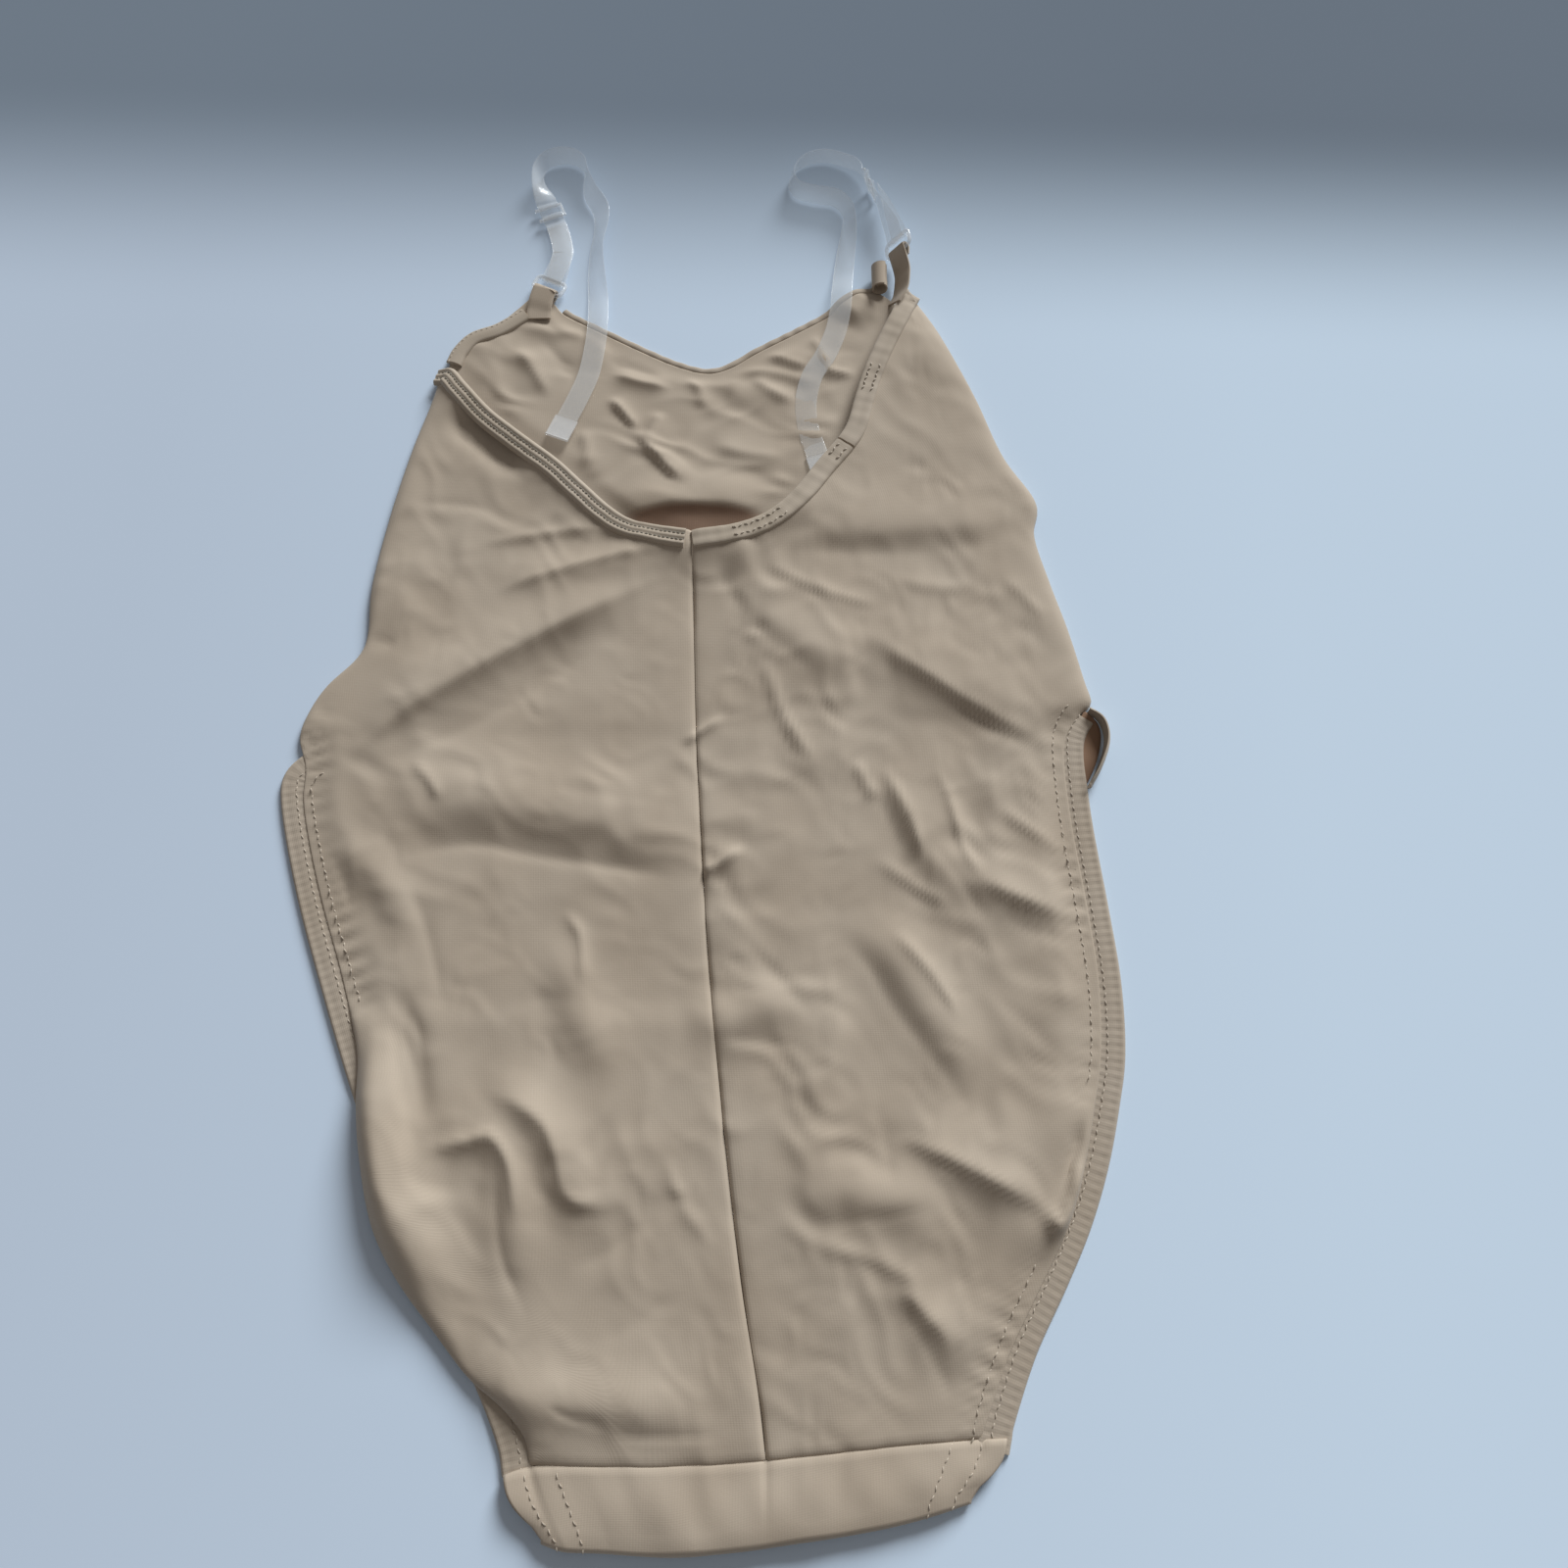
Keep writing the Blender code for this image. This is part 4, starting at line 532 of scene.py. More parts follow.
def stitch_shape(length, radius):
    """One stitch: a bent drop of thread, its ends sunk into the cloth."""
    stations = [(-0.5, 0.35, -0.5), (-0.32, 1.0, 0.55), (0.0, 1.1, 0.9), (0.32, 1.0, 0.55), (0.5, 0.35, -0.5)]
    angles = np.radians([0, 72, 144, 216, 288])
    points = [(s * length, radius * r * math.cos(a), radius * (h + r * math.sin(a)))
              for s, r, h in stations for a in angles]
    faces = [[5 * i + k, 5 * i + (k + 1) % 5, 5 * i + 5 + (k + 1) % 5, 5 * i + 5 + k]
             for i in range(4) for k in range(5)]
    faces += [[4, 3, 2, 1, 0], [20, 21, 22, 23, 24]]
    return np.array(points), faces


def stitches(name, spots, ways, ups, length, radius, look):
    """Many stitches in one object, each at a spot in metres, along its way and standing along its up."""
    points, faces = stitch_shape(length * MM, radius * MM)
    ways = ways / np.linalg.norm(ways, axis=1)[:, None]
    across = np.cross(ups, ways)
    across /= np.linalg.norm(across, axis=1)[:, None]
    ups = np.cross(ways, across)
    frames = np.stack([ways, across, ups], axis=1)
    all_points = (spots[:, None] + np.einsum("pk,nkj->npj", points, frames)).reshape(-1, 3)
    all_faces = [[corner + len(points) * n for corner in face] for n in range(len(spots)) for face in faces]
    uv = np.zeros((sum(len(face) for face in all_faces), 2))
    return mesh_object(name, all_points, all_faces, uv, [look])


def row_of_stitches(line, pitch, swing=0.0):
    """Spots and ways along a line of points in metres, turned from side to side by swing degrees."""
    steps = np.linalg.norm(np.diff(line, axis=0), axis=1)
    run = np.concatenate([[0], np.cumsum(steps)])
    places = np.arange(pitch * MM / 2, run[-1], pitch * MM)
    spots = np.stack([np.interp(places, run, line[:, k]) for k in range(3)], axis=-1)
    ways = np.gradient(spots, axis=0)
    turn = math.radians(swing) * np.where(np.arange(len(spots)) % 2, 1.0, -1.0)
    turned = ways.copy()
    turned[:, 0] = ways[:, 0] * np.cos(turn) - ways[:, 1] * np.sin(turn)
    turned[:, 1] = ways[:, 0] * np.sin(turn) + ways[:, 1] * np.cos(turn)
    return spots, turned


# Looks

def shader_of(name, roughness):
    """A new material and its parts: nodes, links and the shader."""
    look = bpy.data.materials.new(name)
    look.use_nodes = True
    nodes, links = look.node_tree.nodes, look.node_tree.links
    shader = nodes["Principled BSDF"]
    shader.inputs["Roughness"].default_value = roughness
    return look, nodes, links, shader


def mix_colour(nodes, links, factor, low, high):
    """A colour between two, by a factor from another node or from a colour each."""
    mix = nodes.new("ShaderNodeMix")
    mix.data_type = "RGBA"
    links.new(factor, mix.inputs[0])
    for socket, colour in ((mix.inputs[6], low), (mix.inputs[7], high)):
        if isinstance(colour, tuple):
            socket.default_value = (*colour, 1)
        else:
            links.new(colour, socket)
    return mix.outputs[2]


def wave(nodes, links, source, period, direction="X", distortion=0.0):
    """Fine even lines, one for each period in the units of the source."""
    made = nodes.new("ShaderNodeTexWave")
    made.wave_type = "BANDS"
    made.bands_direction = direction
    made.inputs["Scale"].default_value = 2 * math.pi / (20 * period)
    made.inputs["Distortion"].default_value = distortion
    made.inputs["Detail"].default_value = 1.0
    made.inputs["Detail Scale"].default_value = 2.0
    links.new(source, made.inputs["Vector"])
    return made.outputs["Fac"]


def noise(nodes, links, source, scale, detail=3.0):
    """Soft uneven patches."""
    made = nodes.new("ShaderNodeTexNoise")
    made.inputs["Scale"].default_value = scale
    made.inputs["Detail"].default_value = detail
    links.new(source, made.inputs["Vector"])
    return made.outputs["Fac"]


def ramp(nodes, links, value, low, high, start=0.0, end=1.0):
    """A value from low to high as another goes from start to end."""
    made = nodes.new("ShaderNodeMapRange")
    made.inputs["From Min"].default_value = start
    made.inputs["From Max"].default_value = end
    made.inputs["To Min"].default_value = low
    made.inputs["To Max"].default_value = high
    links.new(value, made.inputs["Value"])
    return made.outputs["Result"]


def bump(nodes, links, height, distance, strength, before=None):
    """A bumped normal from a height."""
    made = nodes.new("ShaderNodeBump")
    made.inputs["Distance"].default_value = distance
    made.inputs["Strength"].default_value = strength
    links.new(height, made.inputs["Height"])
    if before is not None:
        links.new(before, made.inputs["Normal"])
    return made.outputs["Normal"]


def jersey(name, light, dark, wale=0.095, course=0.07, depth=0.00012):
    """Fine-ribbed knit: wales along V of the piece's own UV map in centimetres, crossed by faint courses, with
    painted shade in the grooves between the wales.
    """
    look, nodes, links, shader = shader_of(name, 0.82)
    place_uv = nodes.new("ShaderNodeUVMap").outputs["UV"]
    on_piece = nodes.new("ShaderNodeTexCoord").outputs["Object"]
    wales = wave(nodes, links, place_uv, wale, "X", 0.35)
    courses = wave(nodes, links, place_uv, course, "Y", 0.5)
    patches = noise(nodes, links, on_piece, 22.0)
    fuzz = noise(nodes, links, on_piece, 900.0, 2.0)
    base = mix_colour(nodes, links, ramp(nodes, links, patches, 0.0, 1.0, 0.35, 0.65), dark, light)
    # Painted shade: the colour darkens in the grooves between the wales, where the bump is lowest
    lines = ramp(nodes, links, wales, 0.0, 0.06, 0.35, 0.0)
    shaded = mix_colour(nodes, links, lines, base, tuple(0.62 * c for c in dark))
    links.new(shaded, shader.inputs["Base Color"])
    links.new(ramp(nodes, links, patches, 0.76, 0.9), shader.inputs["Roughness"])
    normal = bump(nodes, links, wales, depth, 0.12)
    normal = bump(nodes, links, courses, depth * 0.6, 0.12, normal)
    links.new(bump(nodes, links, fuzz, depth * 0.8, 0.25, normal), shader.inputs["Normal"])
    shader.inputs["Sheen Weight"].default_value = 0.12
    shader.inputs["Sheen Roughness"].default_value = 0.45
    shader.inputs["Specular IOR Level"].default_value = 0.25
    return look


def paint_pocket_shadow(look):
    """A painted shadow, reddish-brown, on the front's inner face, in the pocket right under the scoop."""
    nodes, links = look.node_tree.nodes, look.node_tree.links
    shader = nodes["Principled BSDF"]
    before = shader.inputs["Base Color"].links[0].from_socket
    on_piece = nodes.new("ShaderNodeTexCoord").outputs["Object"]
    fitted = nodes.new("ShaderNodeMapping")
    links.new(on_piece, fitted.inputs["Vector"])
    half = (POCKET_HALF[0] * CM, POCKET_HALF[1] * CM)
    middle = ((POCKET[0] - MIDDLE_X) * CM, (POCKET[1] - MIDDLE_Y) * CM)
    fitted.inputs["Location"].default_value = (-middle[0] / half[0], -middle[1] / half[1], 0)
    fitted.inputs["Scale"].default_value = (1 / half[0], 1 / half[1], 0)
    ball = nodes.new("ShaderNodeTexGradient")
    ball.gradient_type = "SPHERICAL"
    links.new(fitted.outputs[0], ball.inputs[0])
    pocket_shadow = ramp(nodes, links, ball.outputs["Fac"], 0.0, 0.85, 0.0, 0.3)
    # Painted shadow: the front's colour turns reddish-brown towards the middle of the pocket
    links.new(mix_colour(nodes, links, pocket_shadow, before, POCKET_SHADOW_COLOUR), shader.inputs["Base Color"])
    return look


def thread(name, colour):
    """Sewing thread with a faint twist."""
    look, nodes, links, shader = shader_of(name, 0.6)
    on_piece = nodes.new("ShaderNodeTexCoord").outputs["Object"]
    grain = noise(nodes, links, on_piece, 1600.0, 1.0)
    links.new(mix_colour(nodes, links, grain, tuple(0.75 * c for c in colour), colour),
              shader.inputs["Base Color"])
    links.new(bump(nodes, links, grain, 0.00008, 0.5), shader.inputs["Normal"])
    shader.inputs["Sheen Weight"].default_value = 0.15
    return look


def clear(name, colour, alpha, roughness):
    """Clear soft plastic, a little milky, with gloss from the shader's own coat."""
    look, nodes, links, shader = shader_of(name, roughness)
    on_piece = nodes.new("ShaderNodeTexCoord").outputs["Object"]
    haze = noise(nodes, links, on_piece, 260.0, 2.0)
    links.new(mix_colour(nodes, links, haze, tuple(0.93 * c for c in colour), colour),
              shader.inputs["Base Color"])
    links.new(bump(nodes, links, haze, 0.0001, 0.25), shader.inputs["Normal"])
    shader.inputs["Alpha"].default_value = alpha
    shader.inputs["Specular IOR Level"].default_value = 0.8
    shader.inputs["Coat Weight"].default_value = 0.6
    shader.inputs["Coat Roughness"].default_value = 0.08
    return look


JERSEY_LIGHT = (0.475, 0.400, 0.320)
JERSEY_DARK = (0.432, 0.357, 0.280)
JERSEY = jersey("beige_jersey_knit", JERSEY_LIGHT, JERSEY_DARK)
BAND = jersey("beige_elastic_hem", (0.455, 0.385, 0.312), (0.415, 0.345, 0.272), 0.07, 0.09, 0.00016)
SCOOP = jersey("beige_scoop_elastic", (0.47, 0.40, 0.325), (0.40, 0.335, 0.262), 0.06, 0.11, 0.00012)
# Painted shadow in the pocket under the scoop: its middle, its half-sizes in cm and its reddish-brown colour
POCKET = (-3.9, 39.25)
POCKET_HALF = (3.6, 0.75)
POCKET_SHADOW_COLOUR = (0.22, 0.125, 0.08)
FRONT_LOOK = paint_pocket_shadow(jersey("beige_front_jersey_pocket_shadow", JERSEY_LIGHT, JERSEY_DARK))
# Painted shade: dark reddish-brown jersey for the cloth seen in the hollow of the right leg's mouth
SHADED_INSIDE = jersey("beige_jersey_inside_painted_shade", (0.27, 0.165, 0.105), (0.23, 0.135, 0.085))
THREAD = thread("cream_thread", (0.56, 0.48, 0.39))
STRAP = clear("clear_strap", (0.90, 0.93, 0.95), 0.21, 0.3)
HARD = clear("clear_hard_plastic", (0.92, 0.94, 0.96), 0.36, 0.12)


# The back panels

def side_lines(which):
    """The whole outer line of a back panel, from the gusset up to the scoop."""
    return smooth(*{"left": [LEFT_LEG + LEFT_SIDE[1:], 240], "right": [RIGHT_LEG + RIGHT_SIDE[1:], 240]}[which])


def scoop_of(which):
    """The scoop's edge on one panel, and how far it stands off the front."""
    if which == "left":
        return smooth(LEFT_SCOOP), LEFT_SCOOP_LIFT
    return smooth(RIGHT_SCOOP), RIGHT_SCOOP_LIFT


def rolled_edge(xy, which):
    """Where a panel's leg edge rolls over its band, from 0 to 1."""
    y = xy[..., 1]
    if which == "left":
        return ease((18.2 - y) / 1.2) * ease((y - 2.0) / 1.5)
    return 0.85 * ease((y - 8.6) / 1.6) * ease((15.4 - y) / 2.2)


def back_top(xy, which):
    """The outer face of a back panel, in millimetres over the surface."""
    leg_top, leg_round = LEG_TOP[which]
    edge, share = nearest(xy, side_lines(which))
    edge = np.abs(edge)
    on_side = ease((xy[..., 1] - leg_top) / 1.0)
    rolled = rolled_edge(xy, which)
    at_leg = BAND_TOP + 0.1 + (0.3 + 0.9 * rolled) * quarter(edge / 0.3)
    at_side = CLEAR_OF_FRONT * quarter(edge / RIM_ROUND) + WALL * quarter(edge / 0.12)
    seat = (1 - on_side) * at_leg + on_side * at_side
    dips = [HOLLOW] if which == "left" else []
    body = LOFT + BROAD_LIFT * sum(crease(xy, row) for row in BACK_CREASES + dips)
    scoop, lifts = scoop_of(which)
    away, scoop_share = nearest(xy, scoop)
    lift = np.interp(scoop_share, *zip(*lifts)) * np.exp(-((away / SCOOP_REACH) ** 2))
    full = quarter(edge / ((1 - on_side) * leg_round + on_side * SIDE_ROUND))
    sewn = (1 - on_side) * (1 - rolled)
    fade = (1 - sewn) * full + sewn * ease((edge - 0.1) / 1.5)
    seam, seam_share = nearest(xy, smooth(BACK_SEAM, 60))
    sunk = 0.85 + 0.35 * np.sin(seam_share * 31 + 2 * np.sin(seam_share * 13))
    groove = 0.5 * np.exp(-((seam / 0.3) ** 2)) + sunk * np.exp(-((np.abs(seam) / 0.08) ** 2))
    fine = sum(fold_line(xy, row) for row in FINE_CREASES) + ripple(xy, 4, 5.5, 0.3)
    rough = {"left": 2.0, "right": 3.2}[which]
    fine = fine + crumple(xy, 31, 2.6, rough) + crumple(xy, 57, 1.3, 0.3 * rough)
    fine = fine * ease(edge / 0.5) * ease(np.abs(away) / 0.8)
    leg_run = share * length_of(side_lines(which))
    puckers = np.sin(2 * math.pi * leg_run / 0.62 + 2.2 * np.sin(1.1 * leg_run)) * (1 + 0.6 * np.sin(0.7 * leg_run))
    puckers = puckers * 0.42 * np.exp(-(((edge - 0.35) / 0.6) ** 2)) * sewn * ease(edge / 0.15)
    return seat + fade * np.maximum(body + lift, 0.0) + fine * fade - groove + puckers


def wale_uv(xy, which):
    """Where the knit's wales run, in centimetres: up the panel, and turned on the left's rolled edge."""
    seam, _ = nearest(xy, smooth(BACK_SEAM, 60))
    u, v = -seam, xy[..., 1].copy()
    if which == "left":
        edge, _ = nearest(xy, side_lines(which))
        rolled = np.exp(-((edge / 2.4) ** 2)) * ease((17.5 - xy[..., 1]) / 4)
        turned = 0.5 * (xy[..., 0] + 15) - 0.87 * (xy[..., 1] - 14)
        u = (1 - rolled) * u + rolled * (turned - 12.5)
    return np.stack([u, v], axis=-1)


def back_panel(which):
    """One back panel from its gusset seam to its scoop."""
    near = (0, 0.03, 0.07, 0.13, 0.2, 0.3, 0.42)
    seam = (0, 0.03, 0.07, 0.14, 0.24)
    half_gap = np.array([0.006, 0])
    scoop, _ = scoop_of(which)
    if which == "left":
        lines = (smooth(GUSSET_LEFT), scoop, side_lines(which), smooth(BACK_SEAM) - half_gap)
        grid = panel_grid(lines, near, seam, (0, 0.08, 0.2), (0, 0.12, 0.24), 84, 205)
    else:
        lines = (smooth(GUSSET_RIGHT), scoop, smooth(BACK_SEAM) + half_gap, side_lines(which))
        grid = panel_grid(lines, seam, near, (0, 0.08, 0.2), (0, 0.12, 0.24), 84, 205)
    top = back_top(grid, which)
    bottom, _ = nearest(grid, lines[0])
    top = top - 0.9 * np.exp(-((bottom / 0.09) ** 2))
    panel = cloth_sheet(f"back_{which}_cloth", raised(grid, top), wale_uv(grid, which), JERSEY)
    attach(panel, "root")
    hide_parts(f"back_{which}_panel")
    return panel, grid


def panel_height(xy, which):
    """The height of the cloth's outer face at single places, in millimetres."""
    return back_top(np.asarray(xy, float)[None], which)[0]


# The scoop's bands

def scoop_band(which, name, first, last, section, look):
    """An elastic band along a stretch of the scoop, on the panel's edge."""
    scoop, _ = scoop_of(which)
    line = along(scoop, np.linspace(first, last, 150))
    inward = 1 if which == "left" else 1
    middle_line = offset(line, inward * 0.45)
    edge_height = back_top(offset(line, inward * 0.06)[None], which)[0]
    body_height = back_top(offset(line, inward * 0.85)[None], which)[0]
    body_height = np.maximum(body_height, edge_height - 1.2)
    height = (edge_height + body_height) / 2
    tilt = np.degrees(np.arctan2(body_height - edge_height, 8.0))
    kernel = np.ones(9) / 9
    height = np.convolve(np.pad(height, 4, mode="edge"), kernel, mode="valid")
    tilt = np.convolve(np.pad(tilt, 4, mode="edge"), kernel, mode="valid")
    run = np.linspace(0, length_of(middle_line), 150)
    wobble = 0.07 * np.sin(run * 5.2 + 1.7 * np.sin(run)) + 0.04 * np.sin(run * 11.0)
    extra = np.where(section[:, 1] > 0.6, 1.0, 0.0)[None] * wobble[:, None]
    band = swept_band(name, raised(middle_line, height - 0.2), level_sides(middle_line, tilt), section, look,
                      extra=extra)
    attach(band, "root")
    return band, middle_line, height, tilt


def band_row(middle_line, height, tilt, across, lift):
    """A line in metres along a tilted band, across centimetres to its side and lift mm over its middle."""
    moved = offset(middle_line, across)
    z = height + np.sin(np.radians(tilt)) * across * 10 + lift
    return place(raised(moved, z))


def sew(name, rows, length, radius, pitch, swing, band, look=None):
    """Rows of stitches on a band, as one piece."""
    spots, ways = zip(*[row_of_stitches(row, pitch, swing) for row in rows])
    spots, ways = np.vstack(spots), np.vstack(ways)
    ups = np.tile([0.0, 0.0, 1.0], (len(spots), 1))
    piece = stitches(name, spots, ways, ups, length, radius, look or THREAD)
    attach(piece, "root")
    return piece


def make_scoop():
    """The ribbed band on the left of the scoop and the stitched one on its right."""
    ribbed = band_section(0.92, 1.5, 3, 0.4)
    left, line, height, tilt = scoop_band("left", "scoop_elastic_left", 0.0, 0.985, ribbed, SCOOP)
    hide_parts("scoop_band_left")
    rows = [band_row(line, height, tilt, at, 1.45) for at in (-0.15, 0.15)]
    left_rows = sew("scoop_stitches_left", rows, 1.6, 0.2, 1.9, 16, left, DULL_THREAD)
    plain = band_section(0.9, 1.3, 2, 0.14)
    right, line, height, tilt = scoop_band("right", "scoop_elastic_right", 0.0, 0.455, plain, SCOOP)
    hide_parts("scoop_band_right")
    rows = [band_row(line, height, tilt, at, 1.35)[first:last] for at in (-0.2, 0.2)
            for first, last in ((30, 74), (132, 149))]
    right_rows = sew("scoop_stitches_right", rows, 2.0, 0.24, 2.7, 24, right)
    arm, line, height, tilt = scoop_band("right", "armhole_elastic_right", 0.46, 0.97, plain, SCOOP)
    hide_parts("armhole_band_right")
    rows = [band_row(line, height, tilt, at, 1.35)[44:72] for at in (-0.2, 0.2)]
    arm_rows = sew("armhole_stitches_right", rows, 2.0, 0.24, 2.7, 28, arm)


DULL_THREAD = thread("grey_green_thread", (0.32, 0.30, 0.25))


# The leg bands

def leg_band(name, line, count, pucker):
    """A gathered elastic hem along a leg opening, flat on the surface."""
    xy = smooth(line, count)
    section = band_section(BAND_CM, BAND_TOP, 0, 0.0, 0.05, 22)
    run = np.linspace(0, length_of(xy), count)
    t = section[:, 0] / BAND_CM + 0.5
    face = np.where(section[:, 1] > 0.5, 1.0, 0.0) * ease(np.minimum(t, 1 - t) / 0.12)
    waves = (np.sin(run * 2 * math.pi / 0.31 + 1.5 * np.sin(0.9 * run))
             + 0.6 * np.sin(run * 2 * math.pi / 0.74 + 2.0 * np.sin(0.5 * run)))
    rows = np.exp(-(((t - 0.3) / 0.12) ** 2)) + np.exp(-(((t - 0.75) / 0.12) ** 2))
    extra = pucker * waves[:, None] * (0.45 + 0.4 * rows)[None] * face[None]
    extra = extra - 0.15 * (rows * face)[None]
    return swept_band(name, raised(xy, 0 * run), level_sides(xy), section, BAND, extra=extra), xy


def make_leg_bands():
    """Both back leg bands with their twin rows of stitches, and the front's bands beneath."""
    for which, line, count in (("left", LEFT_LEG_BAND, 620), ("right", RIGHT_LEG_BAND, 620)):
        band, xy = leg_band(f"leg_hem_{which}", line, count, 0.07)
        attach(band, "root")
        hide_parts(f"leg_band_{which}")
        on_hem = offset(xy, -0.1)
        on_panel = offset(xy, -0.72)
        over_panel = place(raised(on_panel, np.maximum(panel_height(on_panel, which), BAND_TOP) + 0.05))
        flat = rolled_edge(on_panel, which) < 0.05
        high = flat & (on_panel[:, 1] > 12)
        low = flat & (on_panel[:, 1] < 9)
        rows = [place(raised(on_hem, 0 * xy[:, 0] + BAND_TOP - 0.05)), over_panel[high], over_panel[low]]
        rows = [row for row in rows if len(row) > 2]
        sewn = sew(f"leg_stitches_{which}", rows, 2.0, 0.2, 3.0, 14, band)
    for which, line, shift in (("left", FRONT_LEFT, -0.54), ("right", FRONT_RIGHT, 0.54)):
        xy = offset(smooth(line[:6], 200), shift)
        section = band_section(0.98, 1.1, 0, 0.0, 0.02, 14)
        band = swept_band(f"front_leg_hem_{which}", raised(xy, 0 * xy[:, 0]), level_sides(xy), section, BAND)
        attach(band, "root")
        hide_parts(f"front_leg_band_{which}")


def make_leg_mouth():
    """The leg opening's mouth, which bulges at the top of the right leg, with painted shade on the cloth inside it.
    """
    loop = smooth([(12.3, 26.7), (12.72, 27.4), (13.1, 28.3), (13.2, 29.0), (13.05, 29.6), (12.6, 30.06)], 90)
    share = np.linspace(0, 1, 90)
    wall = 0.55
    depth = 0.8 * (0.55 + 0.45 * np.sin(math.pi * np.clip(share, 0.02, 0.98)) ** 0.6)
    side = level_sides(loop)[:, :2]
    heights = np.linspace(0, 1, 12)
    outer, inner = [], []
    for h in heights:
        swell = 0.10 * math.sin(math.pi * h)
        z = depth * 10 * h
        outer.append(raised(loop + side * (0.5 * wall * 0.1 + swell), z))
        inner.append(raised(loop + side * (-0.5 * wall * 0.1 + swell), z))
    rings = place(np.stack(outer + inner[::-1], axis=1))
    around = np.concatenate([heights, heights + 1.1, [2.2]])
    run = np.linspace(0, length_of(loop), len(loop))
    mouth = swept("leg_mouth_right", rings[:, ::-1], around, run, BAND)
    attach(mouth, "root")
    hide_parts("front_leg_band_right_loop")
    near_side = resample(np.array([(11.7, 26.6), (11.75, 27.6), (11.85, 28.5), (12.0, 29.3), (12.4, 30.0)]), 40)
    far_side = resample(smooth([(12.2, 26.7), (12.62, 27.5), (12.95, 28.4), (13.05, 29.1), (12.9, 29.6),
                                (12.5, 30.03)], 60), 40)
    shares = np.linspace(0, 1, 9)[None, :, None]
    sheet = near_side[:, None] * (1 - shares) + far_side[:, None] * shares
    over = raised(sheet, 1.1 + 0.4 * np.sin(3 * sheet[..., 1]))
    # The cloth inside the mouth takes the dark jersey: painted shade of the hollow
    lining = cloth_sheet("leg_mouth_inside_right", over[:, ::-1], sheet[:, ::-1].copy(), SHADED_INSIDE)
    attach(lining, "root")


# The front panel and its edges

def front_top(xy):
    """The inner face of the front panel, which shows through the scoop."""
    opening = np.vstack([smooth(LEFT_SCOOP)[:-1], smooth(RIGHT_SCOOP)])
    inside, _ = nearest(xy, opening)
    edge, _ = nearest(xy, smooth(FRONT_LEFT + FRONT_NECK[1:]))
    edge = np.abs(edge)
    shown = ease((inside - 0.15) / 0.9) * ease((edge - 0.15) / 0.8)
    ridge = crease(xy, FRONT_CREASES[0]) * ease((inside - 0.1) / 0.8)
    peak = crease(xy, FRONT_CREASES[-1]) * ease((inside - 0.2) / 0.8)
    fine = sum(fold_line(xy, row) for row in FRONT_CREASES[1:-1]) + 0.6 + ripple(xy, 21, 3.4, 0.25)
    fine = fine + crumple(xy, 83, 2.2, 2.0)
    return WALL + np.maximum(ridge + peak + shown * fine, 0.0)


def make_front():
    """The front panel, flat on the surface, with its neckline edge and left armhole band."""
    lines = (smooth(FRONT_CROTCH), smooth(FRONT_NECK), smooth(FRONT_LEFT), smooth(FRONT_RIGHT))
    low = tuple(np.concatenate([[0, 0.4], np.arange(1.4, 33.5, 1.4)]))
    grid = panel_grid(lines, (0, 0.06, 0.15), (0, 0.06, 0.15), low, (0, 0.06, 0.15), 120, 96)
    top = front_top(grid)
    panel = cloth_sheet("front_cloth", raised(grid, top), grid.copy(), FRONT_LOOK, CLOTH)
    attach(panel, "root")
    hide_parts("front_panel")
    neck = along(smooth(FRONT_NECK, 120), np.linspace(0.1, 1, 130))
    line = offset(neck, -0.16)
    section = band_section(0.34, 1.5, 0, 0.0, 0.0, 12)
    run = np.linspace(0, length_of(line), 130)
    ruck = 0.16 * np.sin(run * 7.0 + 2 * np.sin(run)) * 1.0
    extra = np.where(section[:, 1] > 0.5, 1.0, 0.0)[None] * ruck[:, None]
    edge = swept_band("neckline_hem", raised(line, front_top(neck) - WALL), level_sides(line), section, BAND,
                      extra=extra)
    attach(edge, "root")
    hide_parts("neckline_edge")
    armhole = smooth([(-12.2, 50.45), (-13.4, 49.55), (-14.5, 49.05), (-15.1, 48.3), (-15.35, 47.6)], 90)
    section = band_section(0.78, 2.0, 1, 0.35, 0.0, 20)
    arm = swept_band("armhole_elastic_left", raised(armhole, 0 * armhole[:, 0] + WALL), level_sides(armhole),
                     section, SCOOP)
    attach(arm, "root")
    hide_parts("armhole_band_left")
    rows = [place(raised(offset(armhole, 0.22), 0 * armhole[:, 0] + WALL + 2.0))]
    sewn = sew("armhole_stitches_left", rows, 1.8, 0.2, 2.6, 12, arm)


# The gusset

